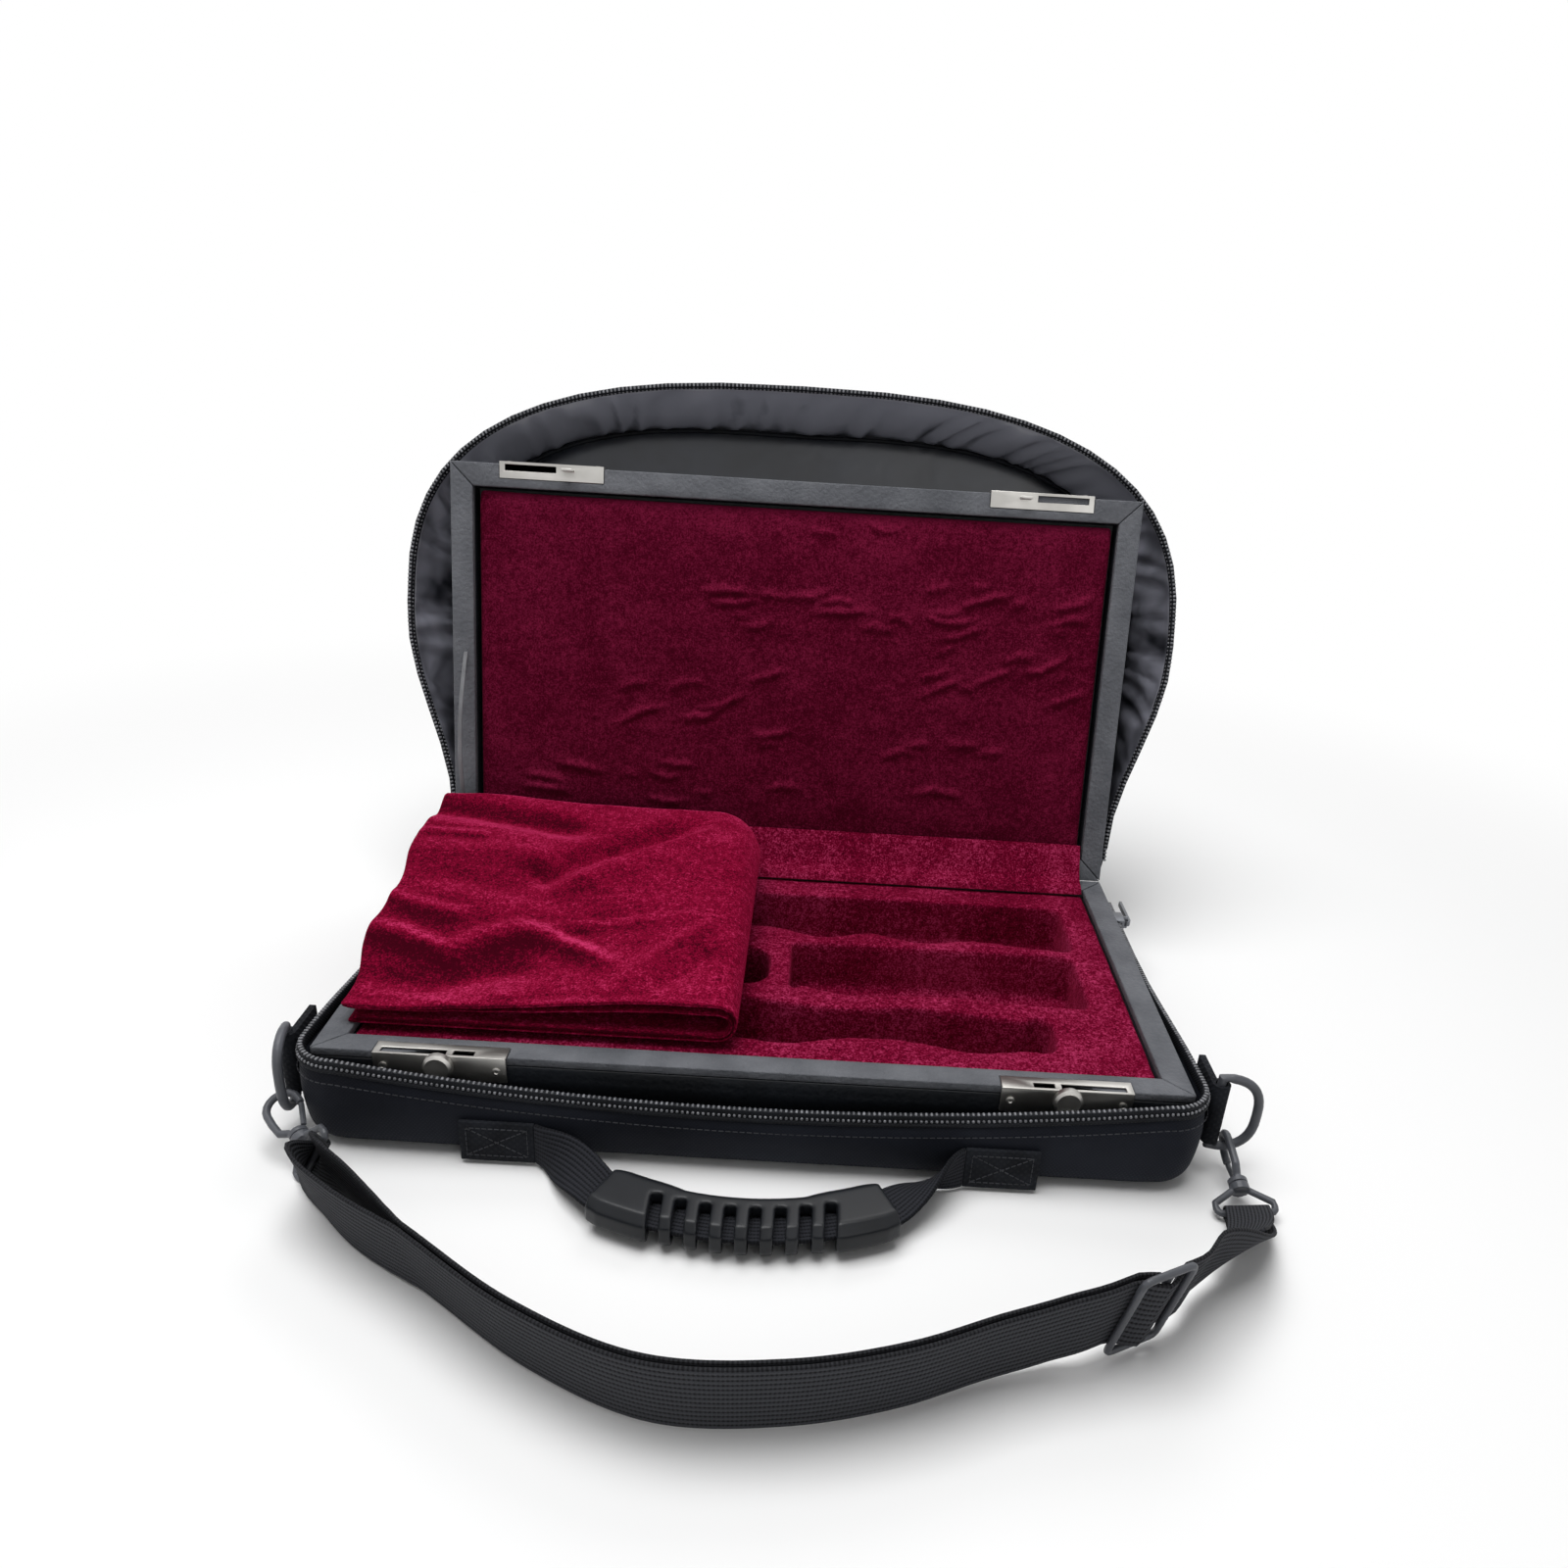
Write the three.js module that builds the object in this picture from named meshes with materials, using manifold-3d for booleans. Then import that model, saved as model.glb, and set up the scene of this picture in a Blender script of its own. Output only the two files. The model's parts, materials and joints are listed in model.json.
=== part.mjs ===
// An oboe case: a hard case lined with velvet, open in its soft zip bag,
// with the bag's handle, its shoulder strap and a folded velvet cloth.
// Millimetres, +Z up, +X to the right, +Y towards the hinge.
// The origin is on the table, under the middle of the hard case.
import * as THREE from 'three';
import { mergeVertices } from 'three/addons/utils/BufferGeometryUtils.js';
import Module from 'manifold-3d';

const wasm = await Module();
wasm.setup();

// Driving sizes of the hard case
const caseWidth = 380;
const caseDepth = 214;
const baseHeight = 41.7;
const lidHeight = 38;
const edgeRound = 33;
const shellWall = 5;
const rimWidth = 12.2;
const rimHeight = 4;
const lidOpenDeg = 102;

// Clearances
const seatGap = 0.3;
const seamGap = 0.6;
const mitreGap = 0.25;
const overrun = 2;

// The velvet lining
const trayRecess = 3;
const slotDepth = 28;
const lidCavityDepth = 14;
const lidPadRecess = 2.5;
const lidPadMargin = 1.5;
const lidPadCrown = 0.9;
const velvetThickness = 1.4;

// The ribbon that holds the lid, from the lid's left side down to the rim
const stayWidth = 9;
const stayThickness = 0.8;
const stayTop = 112;
const stayAhead = 0.9;
const staySlack = 14;
const stayShares = [[1, 0], [0.85, 0.5], [0.67, 0.93], [0.49, 1], [0.357, 0.8], [0.2, 0.43], [0.07, 0.26], [0, 0.25]];

// The bag
const bagWall = 3;
const bagSideGap = 4;
const bagFrontGap = 9;
const bagBackGap = 4;
const bagCornerRadius = 20;
const bagBackCornerRadius = 10;
const bagBottomRadius = 13;
const bagBulge = 1.2;
const zipHeight = 5;
const zipThickness = 2.4;
const zipCornerZ = 46;
const zipFrontSag = 13;
const zipBackZ = 36;
const bagLidOpenDeg = 106;
const bagLidFlare = 31.5;
const bagLidHingeFlare = 5;
const bagLidOverhang = 57.5;
const bagLidOvalRise = 130;
const bagLidDepth = 48;
const bagLidBackRadius = 16;
const bagHingeZ = 40;
const stripInset = 30;
const stripThickness = 1.2;
const stripLeg = 11;
const ovalPower = 2.7;

// The hinge of the hard case
const leafThickness = 1;
const leafWidth = 9;
const barrelRadius = 2.2;
const pinRadius = 1.1;
const hingeInset = 20;
const knuckleCount = 7;

// The latches
const plateThickness = 1;
const plateLength = 57;
const plateDrop = 12.5;
const plateLip = 7.5;
const plateInset = 27;
const slotWidth = 3.4;
const longSlotStart = 3;
const longSlotLength = 28;
const hookSlotStart = 34;
const hookSlotLength = 9;
const hookStart = 35;
const hookWidth = 6;
const hookThickness = 1.3;
const hookReach = 6.4;
const hookNotchDepth = 3.4;
const hookNotchTop = 3.2;
const hookNotchHeight = 2.4;
const boltTravel = 3;
const boltThickness = 1.6;
const boltStart = 21;
const boltBarTop = 7.2;
const boltBarHeight = 3;
const boltPost = 2.6;
const boltToothHeight = 1.5;
const mortiseDepth = 3.4;
const knobRadius = 6.4;
const knobDepth = 4;
const knobRound = 1.2;
const knobDrop = 4.4;
const stemRadius = 1.5;

// The handle
const webWidth = 20;
const webThickness = 2;
const patchLength = 32;
const patchInnerX = 92;
const patchBottom = 2;
const gripHalfLength = 58;
const gripWidth = 27;
const gripThickness = 15;
const gripBow = 14;
const gripReach = 27;
const gripSlots = 8;
const gripSlotWidth = 4.6;
const gripSlotPitch = 10;
const gripCollar = 1.5;

// Rings and hooks
const ringWire = 4.4;
const ringBar = 36;
const ringReach = 18;
const ringMiddleZ = 32;
const tabWidth = 30;
const tabTail = 22;
const tabLayer = 1.5;
const hookWire = 3.6;
const hookBow = 7;
const hookLength = 27;
const noseDrop = 3;
const collarRadius = 4.2;
const collarHeight = 2.4;
const rivetRadius = 1.3;
const rivetHead = 0.9;
const eyeWidth = 25;
const eyeHeight = 11;
const eyeWire = 3.2;
const eyeCollar = 3;
const gateRadius = 1.2;

// The shoulder strap and its slider
const strapWidth = 38;
const strapEndWidth = 19;
const strapThickness = 1.5;
const strapPitch = 2.4;
const strapOutX = 10;
const strapOutY = 144;
const strapLean = 9;
const strapBulge = 3.4;
const strapBulgeLength = 90;
const strapEndLoop = 46;
const strapTaper = 24;
const strapStep = 13;
const sliderLength = 26;
const sliderHeight = 47;
const sliderBar = 3;

// The zip's sliders and pulls
const zipSliderLength = 11;
const zipSliderWall = 1.6;
const pullLength = 24;
const pullThickness = 1.5;
const pullPinRadius = 0.8;

// The folded cloth
const clothLayer = 4.5;
const clothBackLayer = 15;
const clothFrontInset = 19;
const clothBackInset = 8;
const clothBackRise = 8;
const clothRightX = -9;
const clothLeftInset = 9;
const clothLeftFlare = 22;
const clothRightDraw = 26;
const clothFrontHeight = 21;
const clothBackHeight = 37.5;
const clothCrease = 2.6;

// Sizes worked out from the ones above
const halfWidth = caseWidth / 2;
const halfDepth = caseDepth / 2;
const shellBottomZ = bagWall + seatGap;
const rimZ = shellBottomZ + baseHeight;
const hingeZ = rimZ + seamGap / 2;
const innerHalfWidth = halfWidth - rimWidth;
const innerHalfDepth = halfDepth - rimWidth;
const trayTopZ = rimZ - trayRecess;
const bagOuterX = halfWidth + bagSideGap + bagWall;
const bagFrontY = -(halfDepth + bagFrontGap + bagWall);
const bagBackY = halfDepth + bagBackGap + bagWall;
const lidOpen = THREE.MathUtils.degToRad(lidOpenDeg);
const bagLidOpen = THREE.MathUtils.degToRad(bagLidOpenDeg);
const lidPadThickness = lidCavityDepth - lidPadRecess - seatGap;
const boltTooth = boltTravel + seatGap * 2;
const plateOuterX = halfWidth - plateInset;
const hingeHalfLength = halfWidth - hingeInset;
const stripHalfWidth = halfWidth - stripInset;
const bagLidHalfWidth = halfWidth + bagLidFlare;
const bagLidHingeHalfWidth = halfWidth + bagLidHingeFlare;
const bagLidLength = caseDepth + bagLidOverhang;
const strapReachX = halfWidth + strapOutX;
const strapReachY = halfDepth + strapOutY;
const clothFrontY = -halfDepth + clothFrontInset;
const clothBackY = halfDepth - clothBackInset;
const clothLeftX = -halfWidth + clothLeftInset;

const finishes = {
  leatherette: { color: '#17191d', roughness: 0.55, metalness: 0 },
  rim: { color: '#54575d', roughness: 0.62, metalness: 0 },
  velvet: { color: '#7a0a2b', roughness: 0.95, metalness: 0 },
  nickel: { color: '#c4c0b8', roughness: 0.28, metalness: 1 },
  steel: { color: '#8c8f94', roughness: 0.35, metalness: 1 },
  nylon: { color: '#12151d', roughness: 0.85, metalness: 0 },
  zip: { color: '#1b1c20', roughness: 0.6, metalness: 0 },
  webbing: { color: '#2b2b2d', roughness: 0.92, metalness: 0 },
  rubber: { color: '#34383c', roughness: 0.5, metalness: 0 },
  plastic: { color: '#5c5e63', roughness: 0.45, metalness: 0 },
  ribbon: { color: '#3a3a3f', roughness: 0.85, metalness: 0 },
};

const model = new THREE.Group();
const v3 = (x, y, z) => new THREE.Vector3(x, y, z);
const mix = THREE.MathUtils.lerp;
const smooth = (low, high, at) => THREE.MathUtils.smoothstep(at, low, high);

function addPiece(parent, name, geometry, finish) {
  const mesh = new THREE.Mesh(geometry, new THREE.MeshStandardMaterial(finishes[finish]));
  mesh.name = name;
  parent.add(mesh);
  return mesh;
}

// Solids to cut and join, and back to a geometry
function solid(geometry) {
  const bare = geometry.clone();
  bare.deleteAttribute('normal');
  bare.deleteAttribute('uv');
  const merged = mergeVertices(bare);
  return new wasm.Manifold(new wasm.Mesh({
    numProp: 3,
    vertProperties: new Float32Array(merged.attributes.position.array),
    triVerts: Uint32Array.from(merged.index.array),
  }));
}

function shape3(body) {
  const mesh = body.getMesh();
  const geometry = new THREE.BufferGeometry();
  geometry.setAttribute('position', new THREE.BufferAttribute(new Float32Array(mesh.vertProperties), 3));
  geometry.setIndex(new THREE.BufferAttribute(new Uint32Array(mesh.triVerts), 1));
  return geometry;
}

function cut(body, tools) {
  return tools.reduce((left, tool) => left.subtract(tool), body);
}

function join(body, others) {
  return others.reduce((whole, other) => whole.add(other), body);
}

// A box between two corners
function block(low, high) {
  const geometry = new THREE.BoxGeometry(high[0] - low[0], high[1] - low[1], high[2] - low[2]);
  geometry.translate((low[0] + high[0]) / 2, (low[1] + high[1]) / 2, (low[2] + high[2]) / 2);
  return geometry;
}

// A round bar between two points
function bar(from, to, radius, sides) {
  const along = to.clone().sub(from);
  const geometry = new THREE.CylinderGeometry(radius, radius, along.length(), sides);
  const turn = new THREE.Quaternion().setFromUnitVectors(v3(0, 1, 0), along.clone().normalize());
  geometry.applyQuaternion(turn);
  const middle = from.clone().add(to).multiplyScalar(0.5);
  geometry.translate(middle.x, middle.y, middle.z);
  return geometry;
}

// A closed body through a row of rings with as many points each, its ends closed by fans
function loft(rings, closed = false) {
  const count = rings[0].length;
  const points = rings.flat();
  const faces = [];
  const last = closed ? rings.length : rings.length - 1;
  for (let r = 0; r < last; r += 1) {
    const here = r * count;
    const there = ((r + 1) % rings.length) * count;
    for (let i = 0; i < count; i += 1) {
      const next = (i + 1) % count;
      faces.push([here + i, here + next, there + next], [here + i, there + next, there + i]);
    }
  }
  const closeEnd = (ring, first, flip) => {
    const middle = ring.reduce((sum, point) => sum.add(point), v3(0, 0, 0)).divideScalar(count);
    points.push(middle);
    const hub = points.length - 1;
    ring.forEach((_, i) => {
      const pair = [first + i, first + ((i + 1) % count)];
      faces.push(flip ? [hub, pair[1], pair[0]] : [hub, pair[0], pair[1]]);
    });
  };
  if (!closed) {
    closeEnd(rings[0], 0, true);
    closeEnd(rings[rings.length - 1], (rings.length - 1) * count, false);
  }
  return closedGeometry(points, faces);
}

// A geometry whose faces point out, whichever way round they were listed
function closedGeometry(points, faces) {
  const volume = faces.reduce((sum, [a, b, c]) => (
    sum + points[a].dot(points[b].clone().cross(points[c]))), 0);
  const geometry = new THREE.BufferGeometry();
  const flat = points.flatMap((point) => [point.x, point.y, point.z]);
  geometry.setAttribute('position', new THREE.Float32BufferAttribute(flat, 3));
  geometry.setIndex(faces.flatMap(([a, b, c]) => (volume > 0 ? [a, b, c] : [c, b, a])));
  return geometry;
}

// A sheet with thickness: rows of middle points, half a thickness to each side
function thickSheet(rows, halfAt) {
  const [m, n] = [rows.length, rows[0].length];
  const at = (i, j) => rows[Math.min(Math.max(i, 0), m - 1)][Math.min(Math.max(j, 0), n - 1)];
  const sides = [[], []];
  rows.forEach((row, i) => row.forEach((point, j) => {
    const along = at(i, j + 1).clone().sub(at(i, j - 1));
    const across = at(i + 1, j).clone().sub(at(i - 1, j));
    const normal = along.cross(across).normalize().multiplyScalar(halfAt(i / (m - 1), j / (n - 1)));
    sides[0].push(point.clone().add(normal));
    sides[1].push(point.clone().sub(normal));
  }));
  const id = (side, i, j) => side * m * n + i * n + j;
  const faces = [];
  const quad = (a, b, c, d) => faces.push([a, b, c], [a, c, d]);
  for (let i = 0; i < m - 1; i += 1) {
    for (let j = 0; j < n - 1; j += 1) {
      quad(id(0, i, j), id(0, i, j + 1), id(0, i + 1, j + 1), id(0, i + 1, j));
      quad(id(1, i + 1, j), id(1, i + 1, j + 1), id(1, i, j + 1), id(1, i, j));
    }
    quad(id(0, i + 1, 0), id(1, i + 1, 0), id(1, i, 0), id(0, i, 0));
    quad(id(0, i, n - 1), id(1, i, n - 1), id(1, i + 1, n - 1), id(0, i + 1, n - 1));
  }
  for (let j = 0; j < n - 1; j += 1) {
    quad(id(0, 0, j), id(1, 0, j), id(1, 0, j + 1), id(0, 0, j + 1));
    quad(id(0, m - 1, j + 1), id(1, m - 1, j + 1), id(1, m - 1, j), id(0, m - 1, j));
  }
  return closedGeometry(sides.flat(), faces);
}

// A section carried along a route: each place has a point and two directions
function sweep(section, places, closed = false) {
  return loft(places.map(({ at, u, v, scale = 1 }) => section.map(([a, b]) => (
    at.clone().addScaledVector(u, a * scale).addScaledVector(v, b)))), closed);
}

function roundSection(radius, sides) {
  return Array.from({ length: sides }, (_, i) => {
    const turn = ((i + 0.5) / sides) * Math.PI * 2;
    return [Math.cos(turn) * radius, Math.sin(turn) * radius];
  });
}

function flatSection(width, thickness) {
  const [w, t] = [width / 2, thickness / 2];
  return [[-w, -t], [w, -t], [w, t], [-w, t]];
}

// Places along a curve that lies in the plane square to the given direction
function planarPlaces(points, square, closed = false) {
  return points.map((at, i) => {
    const before = points[closed ? (i + points.length - 1) % points.length : Math.max(i - 1, 0)];
    const after = points[closed ? (i + 1) % points.length : Math.min(i + 1, points.length - 1)];
    const ahead = after.clone().sub(before).normalize();
    return { at, u: square.clone().cross(ahead).normalize(), v: square };
  });
}

// The hard case's pillow form: two profiles with round lower edges, one along each side
function pillowProfile(width, round, inset, wall, top) {
  const half = width / 2;
  const radius = round - wall;
  const edge = half - inset;
  const start = Math.acos((edge - (half - round)) / radius);
  const profile = new THREE.Shape();
  profile.moveTo(-edge, top);
  profile.lineTo(-edge, round - radius * Math.sin(start));
  profile.absarc(-(half - round), round, radius, Math.PI + start, Math.PI * 1.5, false);
  profile.absarc(half - round, round, radius, Math.PI * 1.5, Math.PI * 2 - start, false);
  profile.lineTo(edge, top);
  profile.closePath();
  return profile;
}

function extrudeAlongY(profile, length, curveSegments = 6) {
  const geometry = new THREE.ExtrudeGeometry(profile, { depth: length, bevelEnabled: false, curveSegments });
  geometry.rotateX(Math.PI / 2);
  geometry.translate(0, length / 2, 0);
  return geometry;
}

function pillow(inset, wall, top) {
  const along = pillowProfile(caseWidth, edgeRound, inset, wall, top);
  const across = pillowProfile(caseDepth, edgeRound, inset, wall, top);
  const first = solid(extrudeAlongY(along, caseDepth - inset * 2));
  const second = solid(extrudeAlongY(across, caseWidth - inset * 2).rotateZ(Math.PI / 2));
  return shape3(first.intersect(second));
}

// One mitred strip of the rim, on the side that faces -Y, before it is turned
function rimStrip(length, zLow, zHigh) {
  const half = length / 2 - mitreGap;
  const strip = new THREE.Shape();
  strip.moveTo(-half, 0);
  strip.lineTo(half, 0);
  strip.lineTo(half - rimWidth, rimWidth);
  strip.lineTo(-half + rimWidth, rimWidth);
  strip.closePath();
  const geometry = new THREE.ExtrudeGeometry(strip, { depth: zHigh - zLow, bevelEnabled: false });
  geometry.translate(0, 0, zLow);
  return geometry;
}

// The places of a latch, counted from its outer end towards the middle of the case
function latchX(side, from, to) {
  const a = side * (plateOuterX - from);
  const b = side * (plateOuterX - to);
  return [Math.min(a, b), Math.max(a, b)];
}

// The cut-outs for both latches in a front rim whose face is at z and that grows to -direction
function latchRecess(side, faceZ, direction, frontY) {
  const [x0, x1] = latchX(side, -seatGap, plateLength + seatGap);
  const depth = plateThickness + seatGap;
  const zs = [faceZ + direction * overrun, faceZ - direction * depth].sort((a, b) => a - b);
  return solid(block([x0, frontY - overrun, zs[0]], [x1, frontY + plateLip + seatGap, zs[1]]));
}

// An L plate: a lip on the rim and a leaf down the front, with the slots through the lip
function anglePlate(side, faceZ, direction, frontY, slots) {
  const [x0, x1] = latchX(side, 0, plateLength);
  const leafY = frontY - seatGap - plateThickness;
  const lipZ = [faceZ, faceZ - direction * plateThickness].sort((a, b) => a - b);
  const leafZ = [faceZ, faceZ - direction * plateDrop].sort((a, b) => a - b);
  const lip = solid(block([x0, leafY, lipZ[0]], [x1, frontY + plateLip, lipZ[1]]));
  const leaf = solid(block([x0, leafY, leafZ[0]], [x1, leafY + plateThickness, leafZ[1]]));
  const tools = slots.map(([start, length]) => {
    const [s0, s1] = latchX(side, start, start + length);
    const slotY = frontY + latchPocketY();
    return solid(block([s0, slotY - slotWidth / 2, lipZ[0] - overrun], [s1, slotY + slotWidth / 2, lipZ[1] + overrun]));
  });
  return cut(lip.add(leaf), tools);
}

// How far behind the front face the middle of the bolt and of the hook lies
function latchPocketY() {
  return mortiseDepth / 2 + seatGap / 2;
}

// The pocket in the front of the base for the bolt and the hook
function latchMortise(side, frontY) {
  const boltEnd = hookStart + hookWidth + seatGap + boltTooth + boltPost;
  const [x0, x1] = latchX(side, boltStart - boltTravel - seatGap * 2, boltEnd + seatGap * 2);
  return solid(block([x0, frontY - overrun, rimZ - boltBarTop - boltBarHeight - seatGap],
    [x1, frontY + mortiseDepth + seatGap, rimZ + overrun]));
}

function baseShell() {
  const outer = pillow(0, 0, baseHeight - rimHeight - seatGap).translate(0, 0, shellBottomZ);
  const inner = pillow(rimWidth, shellWall, baseHeight + overrun).translate(0, 0, shellBottomZ);
  const tools = [-1, 1].map((side) => latchMortise(side, -halfDepth));
  return shape3(cut(solid(outer), [solid(inner), ...tools]));
}

function hingeGroove(y, z) {
  const reach = hingeHalfLength + seatGap * 2;
  return solid(bar(v3(-reach, y, z), v3(reach, y, z), barrelRadius + seatGap * 2, 16));
}

function leafRecess(backY, faceZ, direction) {
  const depth = leafThickness + seatGap;
  const zs = [faceZ + direction * overrun, faceZ - direction * depth].sort((a, b) => a - b);
  return solid(block([-hingeHalfLength - seatGap, backY - leafWidth - seatGap, zs[0]],
    [hingeHalfLength + seatGap, backY + overrun, zs[1]]));
}

// The four rim strips of one half, as name, solid
function rimStrips(prefix, zLow, zHigh, faceZ, direction, centreY, pocketed) {
  const frontY = centreY - halfDepth;
  const backY = centreY + halfDepth;
  const long = () => rimStrip(caseWidth, zLow, zHigh);
  const short = () => rimStrip(caseDepth, zLow, zHigh);
  const quarter = Math.PI / 2;
  const frontTools = [-1, 1].flatMap((side) => [
    latchRecess(side, faceZ, direction, frontY), ...(pocketed ? [latchMortise(side, frontY)] : [])]);
  const backTools = [leafRecess(backY, faceZ, direction), hingeGroove(backY, faceZ + direction * seamGap / 2)];
  return [
    [`${prefix}_rim_front`, shape3(cut(solid(long().translate(0, frontY, 0)), frontTools))],
    [`${prefix}_rim_back`, shape3(cut(solid(long().rotateZ(quarter * 2).translate(0, backY, 0)), backTools))],
    [`${prefix}_rim_left`, short().rotateZ(-quarter).translate(-halfWidth, centreY, 0)],
    [`${prefix}_rim_right`, short().rotateZ(quarter).translate(halfWidth, centreY, 0)],
  ];
}

// One wavy side of a tray slot: shares of the wave's height at even steps
function slotOutline({ acrossShares, depthShares, farShares, nearShares, endRound }) {
  const outline = new THREE.Shape();
  const [left, right] = acrossShares.map((share) => share * innerHalfWidth);
  const [near, far] = depthShares.map((share) => share * innerHalfDepth);
  const place = (shares, i) => mix(left + endRound, right - endRound, i / (shares.length - 1));
  const farLine = farShares.map((share, i) => new THREE.Vector2(place(farShares, i), far - slotWave * share));
  const nearLine = nearShares.map((share, i) => new THREE.Vector2(place(nearShares, i), near + slotWave * share));
  outline.moveTo(left, near + endRound);
  outline.quadraticCurveTo(left, near, nearLine[0].x, nearLine[0].y);
  outline.splineThru(nearLine.slice(1));
  outline.quadraticCurveTo(right, near, right, near + endRound);
  outline.lineTo(right, far - endRound);
  const farBack = farLine.slice().reverse();
  outline.quadraticCurveTo(right, far, farBack[0].x, farBack[0].y);
  outline.splineThru(farBack.slice(1));
  outline.quadraticCurveTo(left, far, left, far - endRound);
  outline.closePath();
  return outline;
}

// The tray's slots: two long joints, the bell and a box for small things.
// Their sides are shares of the tray's half sizes, and their wavy edges are shares of one wave
const slotWave = 11;
const joinRound = 5;
const boxRound = 13;
const straightShares = [0, 0, 0];
const keyShares = [0.05, 0.4, 1, 0.35, 1, 0.9, 0.15, 0.85, 0.1, 0.6, 0.3, 0];
const bellNearShares = [0.8, 0.1, 0.45, 0.4, 0.15, 0];
const frontFarShares = [0.9, 0.3, 0.75, 0.2, 0.1, 0.5, 0.75, 0.35, 0.6, 1];
const frontNearShares = [0, 0.3, 0.1, 0.65, 0.35, 0.1, 0.75, 0.7, 0.1, 0.5];
const traySlots = {
  back: { acrossShares: [-0.72, 0.9], depthShares: [0.253, 0.78], endRound: joinRound,
    farShares: straightShares, nearShares: keyShares },
  bell: { acrossShares: [0.067, 0.889], depthShares: [-0.359, 0.19], endRound: joinRound,
    farShares: straightShares, nearShares: bellNearShares },
  small: { acrossShares: [-0.63, 0.006], depthShares: [-0.285, 0.105], endRound: boxRound,
    farShares: straightShares, nearShares: straightShares },
  front: { acrossShares: [-0.765, 0.77], depthShares: [-0.823, -0.401], endRound: boxRound,
    farShares: frontFarShares, nearShares: frontNearShares },
};

function baseTray() {
  const body = solid(pillow(rimWidth + seatGap, shellWall + seatGap, baseHeight - trayRecess)
    .translate(0, 0, shellBottomZ));
  const tools = Object.values(traySlots).map((slot) => {
    const geometry = new THREE.ExtrudeGeometry(slotOutline(slot), {
      depth: slotDepth + overrun, bevelEnabled: false, curveSegments: 3 });
    return solid(geometry.translate(0, 0, trayTopZ - slotDepth));
  });
  return shape3(cut(body, tools));
}

// The strip of velvet over the hinge, as a curved band from the tray to the lid's panel
function velvetOverHinge() {
  const rimEdgeY = halfDepth - rimWidth;
  const lidAt = (s, ahead) => [
    halfDepth - Math.cos(lidOpen) * s - Math.sin(lidOpen) * ahead,
    hingeZ + Math.sin(lidOpen) * s - Math.cos(lidOpen) * ahead];
  const skin = velvetThickness / 2 + seatGap * 2;
  const line = new THREE.CatmullRomCurve3([
    [rimEdgeY - rimHeight, trayTopZ + skin], [rimEdgeY - skin, rimZ + skin],
    [rimEdgeY + rimWidth / 3, rimZ + skin * 2], [rimEdgeY + rimWidth * 0.62, rimZ + rimWidth * 0.42],
    lidAt(rimWidth * 1.1, skin * 1.3), lidAt(rimWidth * 1.7, skin - lidPadRecess),
  ].map(([y, z]) => v3(0, y, z)));
  const half = innerHalfWidth - lidPadMargin;
  const places = planarPlaces(line.getPoints(14), v3(1, 0, 0));
  return sweep(flatSection(velvetThickness, half * 2), places);
}

// The ribbon that stops the lid, down the left side of the opening
function lidStayRibbon() {
  const x = -innerHalfWidth - stayWidth / 2;
  const onLid = (s, ahead) => v3(x, halfDepth - Math.cos(lidOpen) * s - Math.sin(lidOpen) * ahead,
    hingeZ + Math.sin(lidOpen) * s - Math.cos(lidOpen) * ahead);
  const line = stayShares.map(([share, slack]) => onLid(stayTop * share, stayAhead + staySlack * slack));
  const places = planarPlaces(new THREE.CatmullRomCurve3(line).getPoints(12), v3(1, 0, 0));
  return sweep(flatSection(stayThickness, stayWidth), places);
}

// The bag's outline at one height: a rectangle with round corners, drawn in by an inset
const cornerSteps = 4;

function bagOutline(inset) {
  const front = Math.max(bagCornerRadius - inset, bagWall);
  const back = Math.max(bagBackCornerRadius - inset, bagWall);
  const x = bagOuterX - inset;
  const low = bagFrontY + inset;
  const high = bagBackY - inset;
  const corner = (signX, signY, from, radius) => Array.from({ length: cornerSteps + 1 }, (_, i) => {
    const turn = from + (i / cornerSteps) * (Math.PI / 2);
    return [signX * (x - radius) + Math.cos(turn) * radius,
      (signY < 0 ? low + radius : high - radius) + Math.sin(turn) * radius];
  });
  const side = (a, b, steps) => Array.from({ length: steps - 1 }, (_, i) => (
    [mix(a[0], b[0], (i + 1) / steps), mix(a[1], b[1], (i + 1) / steps)]));
  const corners = [
    corner(1, -1, -Math.PI / 2, front), corner(1, 1, 0, back),
    corner(-1, 1, Math.PI / 2, back), corner(-1, -1, Math.PI, front)];
  const sideSteps = [6, 8, 6, 14];
  return corners.flatMap((points, i) => [
    ...points, ...side(points[points.length - 1], corners[(i + 1) % 4][0], sideSteps[i])]);
}

// The height of the zip's top edge round the bag
function zipTop(x, y) {
  const ahead = 1 - smooth(bagFrontY, -halfDepth * 0.55, y);
  const across = Math.min(Math.abs(x) / (bagOuterX - bagCornerRadius), 1);
  const front = zipCornerZ - zipFrontSag * (1 - across * across);
  const side = mix(zipCornerZ, zipBackZ, smooth(-halfDepth, halfDepth * 0.3, y));
  return Math.abs(x) > bagOuterX - bagCornerRadius ? side : mix(side, front, ahead);
}

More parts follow.
